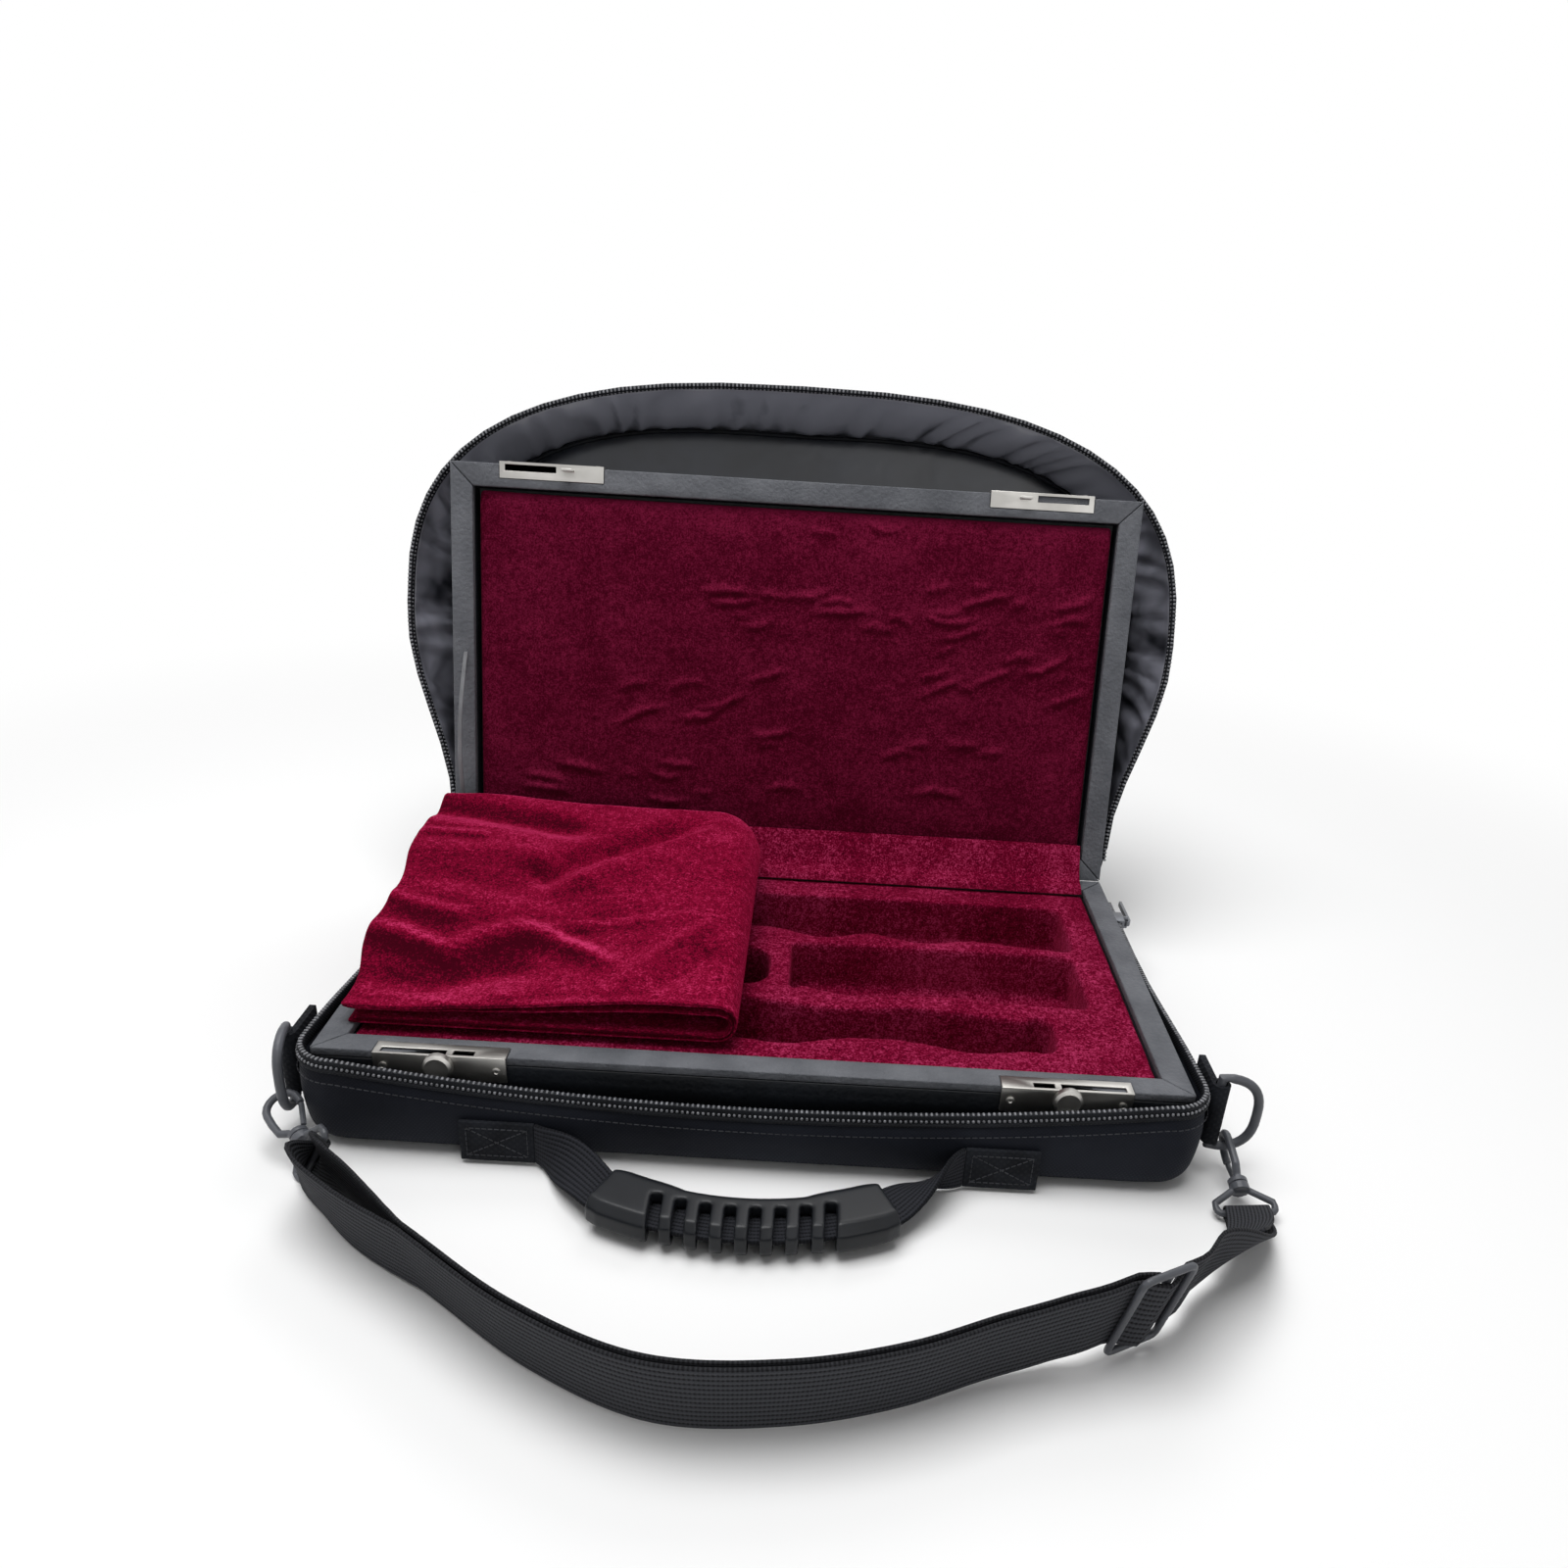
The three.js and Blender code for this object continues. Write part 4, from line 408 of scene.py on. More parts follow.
bagNylon = wovenNylon("woven black nylon", {
    "dark": "#12141b", "light": "#1e2129", "mottle": 60, "thread": 0.9, "relief": 0.25, "gloss": 0.55,
    "dull": 0.8, "shine": 0.12})
tapeNylon = wovenNylon("woven zip tape", {
    "dark": "#0c0d10", "light": "#191b20", "mottle": 20, "thread": 0.8, "relief": 0.5, "gloss": 0.5,
    "dull": 0.75, "shine": 0.15})
webNylon = wovenNylon("woven nylon web", {
    "dark": "#121316", "light": "#222429", "mottle": 14, "thread": 1.6, "relief": 0.8, "gloss": 0.6,
    "dull": 0.9, "shine": 0.1})
greyRibbon = wovenNylon("woven grey ribbon", {
    "dark": "#5d5e61", "light": "#77787b", "mottle": 14, "thread": 0.8, "relief": 0.4, "gloss": 0.45,
    "dull": 0.65, "shine": 0.25})


# Nylon taffeta for the bag lid's lining: a thin shiny cloth with small wrinkles, its colour painted lighter
# on their tops as light. folds sets how much of the painted light and shade on the mesh is added
def nylonTaffeta(name, look):
    material, tree, shader, place = startMaterial(name, Roughness=0.3, IOR=1.5, Specular_IOR_Level=0.55)
    wrinkles = spots(tree, place, look["wrinkle"], 2, Distortion=0.4)
    height = addWeighted(tree, 0.12, spots(tree, place, look["fine"], 2), wrinkles)
    painted = addNode(tree, "Attribute", {"attribute_name": "pileTone"}).outputs["Fac"]
    shown = addWeighted(tree, look["folds"], painted, wrinkles)
    colour = toned(tree, shown, (0.3, look["dark"]), (0.75, look["light"]))
    return endMaterial(material, shader, colour, (height, 0.35, 1.6))


liningTaffeta = nylonTaffeta("nylon taffeta lining", {
    "dark": "#1f222a", "light": "#363a44", "wrinkle": 30, "fine": 7, "folds": 0.0})
# the same taffeta painted much lighter, as light on the gathers that the lamps don't reach
litGatheredTaffeta = nylonTaffeta("gathered nylon taffeta, painted light", {
    "dark": "#1d1e24", "light": "#8a8b96", "wrinkle": 24, "fine": 6, "folds": 1.0})


# Ribbed webbing, woven of polypropylene yarn: ribs run along it as soft ridges, its colour painted dark in
# the grooves as shade and lighter on the ribs as light
def ribbedWeb(name, look):
    material, tree, shader, place = startMaterial(name, Roughness=0.85, IOR=1.49, Specular_IOR_Level=0.12)
    flat = addNode(tree, "UVMap").outputs[0]
    ribs = waves(tree, flat, look["ribPitch"], bands_direction="X")
    picks = waves(tree, flat, look["pickPitch"], bands_direction="Y", Distortion=1.5, **{"Detail Scale": 3})
    height = addWeighted(tree, 0.35, picks, ribs)
    height = addWeighted(tree, 0.4, spots(tree, place, look["yarn"], 3), height)
    colour = toned(tree, height, (0.25, look["grooveShade"]), (1.0, look["rib"]))
    return endMaterial(material, shader, colour, (height, 0.7, 0.45))


ribbedWebbing = ribbedWeb("ribbed black webbing", {
    "grooveShade": "#101012", "rib": "#3b3c40", "ribPitch": 2.9, "pickPitch": 1.5, "yarn": 0.9})
handleWebbing = ribbedWeb("ribbed handle webbing", {
    "grooveShade": "#0e0f12", "rib": "#2b2c31", "ribPitch": 2.0, "pickPitch": 1.3, "yarn": 0.9})


# Metal of the fittings, brushed before it is plated: bright, with hairlines, duller where hands touch it
def platedMetal(name, look):
    material, tree, shader, place = startMaterial(name, Metallic=1.0)
    hair = 1000 / look["hair"]
    hairlines = addNode(tree, "Mapping", {"Scale": (1000 / look["length"], hair, hair)}, {"Vector": place})
    brush = spots(tree, hairlines.outputs[0], 1000, 3)
    touch = spots(tree, place, look["smudge"], 4)
    rough = addWeighted(tree, 0.5, brush, touch)
    gloss = ranged(tree, rough, 0.45, 1.05, look["gloss"], look["dull"])
    colour = toned(tree, touch, (0.3, look["dark"]), (0.75, look["light"]))
    return endMaterial(material, shader, colour, (brush, 0.08, 0.02), gloss)


nickelPlate = platedMetal("nickel plated steel", {
    "dark": "#9a9894", "light": "#c6c4c0", "length": 9, "hair": 0.35, "smudge": 40, "gloss": 0.32,
    "dull": 0.46})
hingeSteel = platedMetal("brushed hinge steel", {
    "dark": "#5c5e63", "light": "#7c7f84", "length": 8, "hair": 0.4, "smudge": 15, "gloss": 0.3,
    "dull": 0.46})


# Moulded acetal for rings, hooks and the slider, moulded vinyl for the grip: a satin skin, faintly grained
def mouldedPlastic(name, look):
    material, tree, shader, place = startMaterial(name, IOR=1.48, Specular_IOR_Level=look["shine"])
    flow = spots(tree, place, look["flow"], 3)
    grain = spots(tree, place, look["grain"], 2)
    colour = toned(tree, flow, (0.3, look["dark"]), (0.7, look["light"]))
    gloss = ranged(tree, flow, toLow=look["gloss"], toHigh=look["dull"])
    return endMaterial(material, shader, colour, (grain, look["relief"], 0.1), gloss)


greyAcetal = mouldedPlastic("moulded grey acetal", {
    "dark": "#424449", "light": "#53555b", "flow": 14, "grain": 0.6, "gloss": 0.34, "dull": 0.5,
    "relief": 0.15, "shine": 0.4})
gripVinyl = mouldedPlastic("moulded grip vinyl", {
    "dark": "#131518", "light": "#1c1e22", "flow": 25, "grain": 0.8, "gloss": 0.26, "dull": 0.38,
    "relief": 0.15, "shine": 0.26})
# The zip's teeth: dark nylon whose colour runs up to painted glints, light specks where the lamps would catch
# the teeth
glintingZipTeeth = mouldedPlastic("nylon zip teeth, painted glints", {
    "dark": "#3c3d41", "light": "#8a8b90", "flow": 3, "grain": 0.5, "gloss": 0.25, "dull": 0.4,
    "relief": 0.1, "shine": 0.5})
blackThread = mouldedPlastic("twisted black thread", {
    "dark": "#17181c", "light": "#34363c", "flow": 4, "grain": 0.4, "gloss": 0.4, "dull": 0.6,
    "relief": 0.5, "shine": 0.4})
print("materials made")


# A rigid piece keeps the model's shape and gets rounded edges. The radius is in millimetres, and the edge
# is the turn in degrees that counts as one
def roundedPiece(node, name, material, radius, edge=40):
    piece = copyOfNode(node, name)
    bpy.ops.object.mode_set(mode="EDIT")
    bpy.ops.mesh.select_all(action="SELECT")
    bpy.ops.mesh.dissolve_limited(angle_limit=math.radians(2))
    bpy.ops.object.mode_set(mode="OBJECT")
    bevelEdges(piece, radius, segments=3, degrees=edge)
    shadeByAngle(piece, 40)
    finishPiece(piece, material, bodyOf[node], (node,))


roundedPiece("base_shell", "caseBaseShell", blackLeatherette, radius=0.5, edge=50)
roundedPiece("lid_shell", "caseLidShell", blackLeatherette, radius=0.5, edge=50)
roundedPiece("hinge_leaf_base", "hingeLeafOnBase", hingeSteel, radius=0.15)
roundedPiece("hinge_leaf_lid", "hingeLeafOnLid", hingeSteel, radius=0.15)
roundedPiece("hinge_pin", "hingePinRod", hingeSteel, radius=0.15, edge=50)
for side in ("front", "back", "left", "right"):
    for half in ("base", "lid"):
        roundedPiece(f"{half}_rim_{side}", f"{half}Rim{side.title()}", greyLeatherette,
                     radius=0.7)
for side in ("left", "right"):
    hand = side.title()
    roundedPiece(f"latch_plate_{side}", "latchPlate" + hand, nickelPlate, radius=0.3)
    roundedPiece(f"keeper_{side}", "lidKeeper" + hand, nickelPlate, radius=0.3)
    roundedPiece(f"latch_bolt_{side}", "latchBolt" + hand, hingeSteel, radius=0.2)
    roundedPiece(f"latch_knob_{side}", "latchKnob" + hand, nickelPlate, radius=0.2, edge=60)
    roundedPiece(f"zip_slider_{side}", "zipSlider" + hand, hingeSteel, radius=0.45)
    roundedPiece(f"zip_pull_{side}", "zipPull" + hand, hingeSteel, radius=0.3)
    roundedPiece(f"snap_gate_{side}", "snapGate" + hand, greyAcetal, radius=0.2, edge=50)
print("rigid pieces rounded")


# A moulded piece: the model's form is filled with small cells and smoothed, as a mould rounds every edge
def mouldedPiece(node, name, material, cell, passes):
    piece = copyOfNode(node, name)
    remesh(piece, cell, passes)
    bpy.ops.object.shade_smooth()
    finishPiece(piece, material, bodyOf[node], (node,))


mouldedPiece("handle_grip", "gripMoulding", gripVinyl, cell=0.62, passes=14)
mouldedPiece("strap_slider", "strapSliderFrame", greyAcetal, cell=0.42, passes=3)
for side in ("left", "right"):
    for node, name, cell in (("snap_hook", "snapHook", 0.34), ("swivel_eye", "swivelEye", 0.34),
                             ("d_ring", "dRing", 0.42)):
        mouldedPiece(f"{node}_{side}", name + side.title(), greyAcetal, cell, passes=4)
print("moulded pieces smoothed")

# Screws at both ends of each latch plate and keeper: a raised head with a round drive sunk into it
screw = {"radius": 1.9, "rise": 0.8, "rim": 0.3, "dome": 0.35, "ledge": 0.2, "slope": 0.18, "drive": 0.35,
         "fromEnd": 4.2, "drop": 6.6, "knobX": 134.5, "plateHalf": 28.5, "plate": 1, "sunk": 0.1}


def screwHead(name, x):
    bpy.ops.mesh.primitive_cylinder_add(vertices=24, radius=mm(screw["radius"]), depth=mm(screw["rise"]))
    head = bpy.context.object
    head.name = head.data.name = name
    bpy.ops.object.mode_set(mode="EDIT")
    bpy.ops.mesh.select_mode(type="FACE")
    bpy.ops.mesh.select_all(action="DESELECT")
    bpy.ops.object.mode_set(mode="OBJECT")
    for face in head.data.polygons:
        face.select = face.normal.z > 0.9
    bpy.ops.object.mode_set(mode="EDIT")
    bpy.ops.mesh.inset(thickness=mm(screw["radius"] * screw["rim"]))
    bpy.ops.transform.translate(value=(0, 0, mm(screw["rise"] * screw["dome"])))
    bpy.ops.mesh.inset(thickness=mm(screw["radius"] * screw["ledge"]))
    bpy.ops.mesh.inset(thickness=mm(screw["radius"] * screw["slope"]))
    bpy.ops.transform.translate(value=(0, 0, -mm(screw["drive"])))
    bpy.ops.object.mode_set(mode="OBJECT")
    shadeByAngle(head, 40)
    moveMesh(head, Matrix.Translation((mm(x), 0, 0)) @ Matrix.Rotation(math.radians(90), 4, "X"))
    return head


screwOut = screw["plate"] + screw["rise"] / 2 - screw["sunk"]
onPlate = Matrix.Translation((0, -mm(case["halfDepth"] + screwOut), mm(case["rimZ"] - screw["drop"])))
onKeeper = caseLidFrame @ Matrix.Translation((0, -mm(case["halfDepth"] * 2 + screwOut), mm(screw["drop"])))
for side, sign in (("Left", -1), ("Right", 1)):
    xs = [sign * (screw["knobX"] + end * (screw["plateHalf"] - screw["fromEnd"])) for end in (-1, 1)]
    for name, body, place in (("plateScrew", "base", onPlate), ("keeperScrew", "case_lid", onKeeper)):
        heads = [screwHead(f"{name}{side}{i}", x) for i, x in enumerate(xs)]
        both = joinPieces(f"{name}s{side}", heads)
        finishPiece(moveMesh(both, place), nickelPlate, body)

# The seam on the lid's outside: a rounded rectangle of piping with a row of stitches inside it
lidSeam = {"halfX": 146, "halfY": 64, "corner": 9, "piping": 0.7, "stitch": (2.4, 0.8, 0.6), "pitch": 3.4,
           "shrink": 0.985}


def roundedRectangle(halfX, halfY, corner, z, steps=6):
    points = []
    for signX, signY, start in ((1, 1, 0), (-1, 1, 90), (-1, -1, 180), (1, -1, 270)):
        for i in range(steps + 1):
            turn = math.radians(start + 90 * i / steps)
            points.append(Vector((mm(signX * (halfX - corner) + corner * math.cos(turn)),
                                  mm(signY * (halfY - corner) + corner * math.sin(turn)), mm(z))))
    return points


lidTop = case["lidHeight"] + case["gap"]
ring = roundedRectangle(lidSeam["halfX"], lidSeam["halfY"], lidSeam["corner"], lidTop)
onLid = caseLidFrame @ Matrix.Translation((0, -mm(case["halfDepth"]), 0))
piping = tubeAlong("lidSeamWelt", ring, lidSeam["piping"], closed=True)
finishPiece(moveMesh(piping, onLid), blackLeatherette, "case_lid")
stitches = rowAlong("lidSeamStitches", [point * lidSeam["shrink"] for point in ring + ring[:1]],
                    lidSeam["stitch"], lidSeam["pitch"])
moveMesh(stitches, onLid @ Matrix.Translation((0, 0, mm(lidTop * (1 - lidSeam["shrink"])))))
finishPiece(stitches, blackThread, "case_lid")
print("screws and the lid's seam made")

# The lid's panel: a thin pad under velvet, blown up a little by the cloth solver, then crumpled as the
# photograph shows. Its creases are laid out by chance within groups
panel = {"cell": 5.0, "pressure": 4, "frames": 20, "cap": 0.8, "rise": 1.1, "wide": 2.1, "long": 12,
         "tone": 0.5, "grid": 1.2, "reachX": 18, "reachY": 14, "apartX": 16, "apartY": 4.5, "wander": 1.6,
         "swell": 0.3, "lowest": 0.4, "seam": 1.0, "light": 0.12}
panelHalfX = case["halfWidth"] - case["rimWidth"] - panel["seam"]
panelHalfY = case["halfDepth"] - case["rimWidth"] - panel["seam"]

# each group's middle and spread, in shares of the panel from the left and from the hinge, its number of
# creases and their slant in degrees
creaseGroups = [
    ((0.60, 0.70), (0.22, 0.05), 14, -4),
    ((0.84, 0.64), (0.12, 0.16), 24, -20),
    ((0.22, 0.17), (0.18, 0.07), 18, 2),
    ((0.38, 0.44), (0.14, 0.07), 9, -14),
    ((0.66, 0.24), (0.22, 0.1), 10, -6),
    ((0.60, 0.93), (0.1, 0.02), 3, 0)]
chance = random.Random(11)
creases = []
for (middleU, middleV), (spreadU, spreadV), count, slant in creaseGroups:
    for i in range(count):
        u = middleU + spreadU * chance.uniform(-1, 1)
        v = middleV + spreadV * chance.uniform(-1, 1)
        x, y = mix(-panelHalfX, panelHalfX, u), -case["halfDepth"] + mix(panelHalfY, -panelHalfY, v)
        size = chance.uniform(0.35, 1.2)
        if any(abs(x - other["x"]) < panel["apartX"] and abs(y - other["y"]) < panel["apartY"]
               for other in creases):
            continue
        creases.append({"x": x, "y": y, "turn": math.radians(slant + chance.uniform(-9, 9)),
                        "half": panel["long"] * size, "bend": chance.uniform(-0.2, 0.2),
                        "rise": panel["rise"] * (0.4 + 0.6 * size)})


# The height of all creases on a grid over the lid, in millimetres
def creaseGrid():
    step = panel["grid"]
    grid = {}
    for crease in creases:
        cosine, sine = math.cos(crease["turn"]), math.sin(crease["turn"])
        middleColumn, middleRow = round(crease["x"] / step), round(crease["y"] / step)
        for column in range(middleColumn - panel["reachX"], middleColumn + panel["reachX"] + 1):
            for row in range(middleRow - panel["reachY"], middleRow + panel["reachY"] + 1):
                x, y = column * step, row * step
                dx, dy = x - crease["x"], y - crease["y"]
                along = (dx * cosine + dy * sine) / crease["half"]
                across = dy * cosine - dx * sine - crease["bend"] * crease["half"] * along ** 2
                across += panel["wander"] * noise.noise(Vector((x / 7, y / 7, 2.0)))
                rise = crease["rise"] * math.exp(-along ** 4 - (across / panel["wide"]) ** 2)
                grid[column, row] = max(grid.get((column, row), 0), rise)
    return grid


creaseHeights = creaseGrid()


# The height at any place, between the grid's points
def crumple(x, y):
    column, row = math.floor(x / panel["grid"]), math.floor(y / panel["grid"])
    u, v = x / panel["grid"] - column, y / panel["grid"] - row
    near, far = [mix(creaseHeights.get((column, r), 0), creaseHeights.get((column + 1, r), 0), u)
                 for r in (row, row + 1)]
    return mix(near, far, v) + panel["swell"] * noise.noise(Vector((x / 16, y / 10, 5.0)))


# The cloth solver blows the pad up, by cap millimetres at most
def blowUp(piece):
    resting = [vertex.co.copy() for vertex in piece.data.vertices]
    activate(piece)
    solver = piece.modifiers.new("Cloth", "CLOTH")
    solver.settings.use_pressure = True
    solver.settings.uniform_pressure_force = panel["pressure"]
    solver.settings.effector_weights.gravity = 0
    solver.settings.quality = 6
    for step in range(1, panel["frames"] + 1):
        bpy.context.scene.frame_set(step)
    bpy.ops.object.modifier_apply(modifier=solver.name)
    bpy.context.scene.frame_set(1)
    for vertex, rest in zip(piece.data.vertices, resting):
        way = vertex.co - rest
        if way.length > mm(panel["cap"]):
            vertex.co = rest + way.normalized() * mm(panel["cap"])


def panelShape(at, normal):
    x = clamp(-mm(panelHalfX), at.x, mm(panelHalfX))
    y = clamp(-mm(case["halfDepth"] + panelHalfY), at.y, -mm(case["halfDepth"] - panelHalfY))
    face = smoothStep(0.2, 0.8, -normal.z)
    z = at.z - face * mm(crumple(at.x * 1000, at.y * 1000))
    return Vector((x, y, max(z, mm(panel["lowest"]))))


lidPanel = copyOfNode("lid_panel", "lidPanelVelvet")
moveMesh(lidPanel, caseLidFrame.inverted())
remesh(lidPanel, panel["cell"])
blowUp(lidPanel)
subdivide(lidPanel, 2)
moveVertices(lidPanel, panelShape)
# painted light and shade: slopes that face up in the open lid are lighter, those facing down darker; tone
# sets its strength and light its offset
paintLightAndShade(lidPanel, lambda at, normal: panel["tone"] * (panel["light"] - normal.y))
moveMesh(lidPanel, caseLidFrame)
shadeSmooth(lidPanel)
finishPiece(lidPanel, shadedPanelVelvet, "case_lid", ("lid_panel",))
print("lid panel made")

# The tray: foam with velvet pressed over it, so that every edge of its slots is soft
tray = {"cell": 1.9, "passes": 7, "nap": 0.35, "swell": 18, "press": 0.3}


def trayShape(at, normal):
    swell = noise.noise(at / mm(tray["swell"])) * smoothStep(-0.2, 0.5, normal.z)
    return at + normal * mm(tray["nap"]) * (swell - tray["press"])


trayVelvet = copyOfNode("base_tray", "trayVelvet")
remesh(trayVelvet, tray["cell"], tray["passes"])
moveVertices(trayVelvet, trayShape)
shadeSmooth(trayVelvet)
finishPiece(trayVelvet, trayVelvetFinish, "base", ("base_tray",))


# A copy with more faces: flat divisions first, then rounding ones
def subdividedCopy(node, name, simple, levels):
    piece = copyOfNode(node, name)
    subdivide(piece, simple, subdivision_type="SIMPLE")
    subdivide(piece, levels)
    bpy.ops.object.shade_smooth()
    return piece


# The strip of velvet over the hinge, between the base and the lid, with more faces
hingeVelvet = subdividedCopy("hinge_cover", "hingeCoverVelvet", simple=2, levels=2)
finishPiece(hingeVelvet, trayVelvetFinish, None, ("hinge_cover",))
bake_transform(hingeVelvet)

# The ribbon that holds the lid, gathered to a quarter of its width, as the photograph shows it
ribbonLow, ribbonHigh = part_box("lid_stay")
ribbonShare = 0.25
stayRibbon = subdividedCopy("lid_stay", "lidStayRibbon", simple=1, levels=2)
ribbonX = (ribbonLow.x + ribbonHigh.x) / 2
moveVertices(stayRibbon, lambda at, normal: Vector((ribbonX + (at.x - ribbonX) * ribbonShare, at.y, at.z)))
finishPiece(stayRibbon, greyRibbon, None, ("lid_stay",))
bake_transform(stayRibbon)
print("tray, hinge strip and ribbon made")

# The cloth: one sheet folded twice across, so that four plies lie in two pairs round a fold at the right.
# Its front right corner stands open, its left edge lies on the rim. Shares run from the left and the front
# tone is the strength of the cloth's painted light and shade
cloth = {"frontY": -88, "backY": 99, "left": -181, "leftFlare": 9.8, "right": -9, "cornerRound": 15,
         "frontTop": 66, "backTop": 81.5, "sink": 2.2, "cornerLift": 3.5, "foldScale": 1.15, "tone": 1.0,
         "low": 45.6, "backRise": 6.5, "shutTo": 0.45, "ply": 1.5, "pair": 2.0, "rows": 60, "across": 44,
         "turn": 10, "hem": 0.5, "hemAt": 0.035, "hemWidth": 0.008, "broad": 0.9, "small": 0.4,
         "crestCells": 40, "crestReach": 0.03, "crestMost": 2.5}

# where the left edge swings in or out: place as a share from the front, width as a share, millimetres
clothSwings = [(0.5, 0.12, 4.5), (0.24, 0.1, -5)]

# each fold: its line as shares across and from the front, then its width as a share and its height
clothFolds = [
    ([(0.0, 0.745), (0.12, 0.745), (0.25, 0.74)], 0.016, 1.6),
    ([(-0.1, 0.93), (0.09, 0.9), (0.33, 0.85), (0.6, 0.8)], 0.055, -4.6),
    ([(0.38, 0.53), (0.46, 0.57), (0.70, 0.74), (0.96, 0.93)], 0.05, -4.8),
    ([(0.5, 0.5), (0.6, 0.58), (0.82, 0.76), (1.0, 0.88)], 0.045, 2.8),
    ([(-0.05, 0.3), (0.1, 0.26), (0.23, 0.215), (0.33, 0.27), (0.41, 0.3), (0.5, 0.28), (0.61, 0.21),
      (0.74, 0.12)], 0.032, 4.6),
    ([(0.02, 0.13), (0.2, 0.11), (0.36, 0.16), (0.5, 0.18)], 0.05, -4.0),
    ([(0.15, 0.05), (0.3, 0.02), (0.46, 0.07)], 0.02, 1.6),
    ([(0.46, 0.31), (0.74, 0.35), (1.0, 0.41)], 0.014, 1.3),
    ([(0.72, 0.06), (0.85, 0.22), (1.0, 0.38)], 0.03, 2.4),
    ([(0.8, 0.05), (0.9, 0.15), (1.0, 0.25)], 0.035, -1.8),
    ([(-0.05, 0.43), (0.1, 0.37), (0.27, 0.34)], 0.022, 1.8),
    ([(0.1, 0.52), (0.35, 0.47), (0.6, 0.42)], 0.06, -1.6),
    ([(0.0, 0.64), (0.3, 0.66), (0.45, 0.63)], 0.05, 1.5)]


# How far a point lies from a fold's line, and how far along the line the nearest place is
def nearestOnFold(route, share, v):
    best, along = 9.0, 0.0
    for i, ((u0, v0), (u1, v1)) in enumerate(zip(route, route[1:])):
        t = ((share - u0) * (u1 - u0) + (v - v0) * (v1 - v0)) / ((u1 - u0) ** 2 + (v1 - v0) ** 2)
        t = clamp(0, t, 1)
        far = math.hypot(share - mix(u0, u1, t), v - mix(v0, v1, t))
        if far < best:
            best, along = far, (i + t) / (len(route) - 1)
    return best, along


def clothHeight(share, v):
    top = mix(cloth["frontTop"], cloth["backTop"], smoothStep(-0.1, 0.9, v))
    lift = cloth["cornerLift"] * smoothStep(0.75, 1, v) * smoothStep(0.6, 0.1, share)
    folds = 0
    for route, width, height in clothFolds:
        far, along = nearestOnFold(route, share, v)
        ends = smoothStep(0, 0.2, 1 - along) * (0.3 + 0.7 * smoothStep(0, 0.15, along))
        folds += cloth["foldScale"] * height * math.exp(-(far / width) ** 2) * ends
    broad = cloth["broad"] * noise.noise(Vector((share * 4.2, v * 5.5, 1.7)))
    small = cloth["small"] * noise.noise(Vector((share * 11, v * 15, 4.2)))
    hem = -cloth["hem"] * math.exp(-((v - cloth["hemAt"]) / cloth["hemWidth"]) ** 2)
    return top - cloth["sink"] + lift + folds + (broad + small) + hem


# The place of a row in depth, and of its left and right ends
def clothEdges(v):
    y = mix(cloth["frontY"], cloth["backY"], v)
    left = cloth["left"] - cloth["leftFlare"] * smoothStep(0.1, 0.62, v)
    left += sum(swing * math.exp(-((v - at) / width) ** 2) for at, width, swing in clothSwings)
    curl = clamp(0, (v - 0.86) / 0.14, 0.99)
    right = cloth["right"] - cloth["cornerRound"] * (1 - math.sqrt(1 - curl ** 2))
    return y, left, right


def clothRow(v):
    y, left, right = clothEdges(v)
    points = []
    for inner in (0, 1):
        gap = cloth["pair"] * inner
        low = cloth["low"] + cloth["ply"] / 2 + gap + cloth["backRise"] * smoothStep(0.9, 1, v)

        def topAt(share):
            shut = max(smoothStep(0.1, 0.85, share), smoothStep(0, 0.45, v))
            room = clothHeight(share, v) - cloth["ply"] / 2 - gap * 2 - low
            return low + room * mix(cloth["shutTo"], 1, shut)

        radius = (topAt(1) - low) / 2
        end = right - cloth["ply"] / 2 - gap - radius
        shares = [i / cloth["across"] for i in range(cloth["across"] + 1)]
        turns = [math.radians(-90 + 180 * i / cloth["turn"]) for i in range(1, cloth["turn"])]
        ring = [(mix(left + gap, end, share), low) for share in shares]
        ring += [(end + math.cos(turn) * radius, low + radius + math.sin(turn) * radius) for turn in turns]
        ring += [(mix(left + gap, end, share), topAt(share)) for share in reversed(shares)]
        points += ring if inner == 0 else ring[::-1]
    return [Vector((mm(x), mm(y), mm(z))) for x, z in points]


rows = [clothRow(i / cloth["rows"]) for i in range(cloth["rows"] + 1)]
columns = len(rows[0])
faces = [(r * columns + c, r * columns + c + 1, (r + 1) * columns + c + 1, (r + 1) * columns + c)
         for r in range(cloth["rows"]) for c in range(columns - 1)]
velvetSheet = meshPiece("foldedVelvetCloth", [point for row in rows for point in row], faces)
applyModifier(velvetSheet, "SOLIDIFY", thickness=mm(cloth["ply"]), offset=0, use_even_offset=True)
subdivide(velvetSheet, 1)
bpy.ops.object.shade_smooth()
finishPiece(velvetSheet, clothVelvetFinish, "base", ("velvet_cloth",))


# How far the cloth stands over its surroundings, row by row: its crests get painted light, its valleys
# painted shade
def crestRow(v):
    reach, cells = cloth["crestReach"], cloth["crestCells"]
    here, before, behind = [[clothHeight(i / cells, at) for i in range(cells + 1)]
                            for at in (v, v - reach, v + reach)]
    return [height - (low + high) / 2 for height, low, high in zip(here, before, behind)]


crests = [crestRow(r / cloth["rows"]) for r in range(cloth["rows"] + 1)]


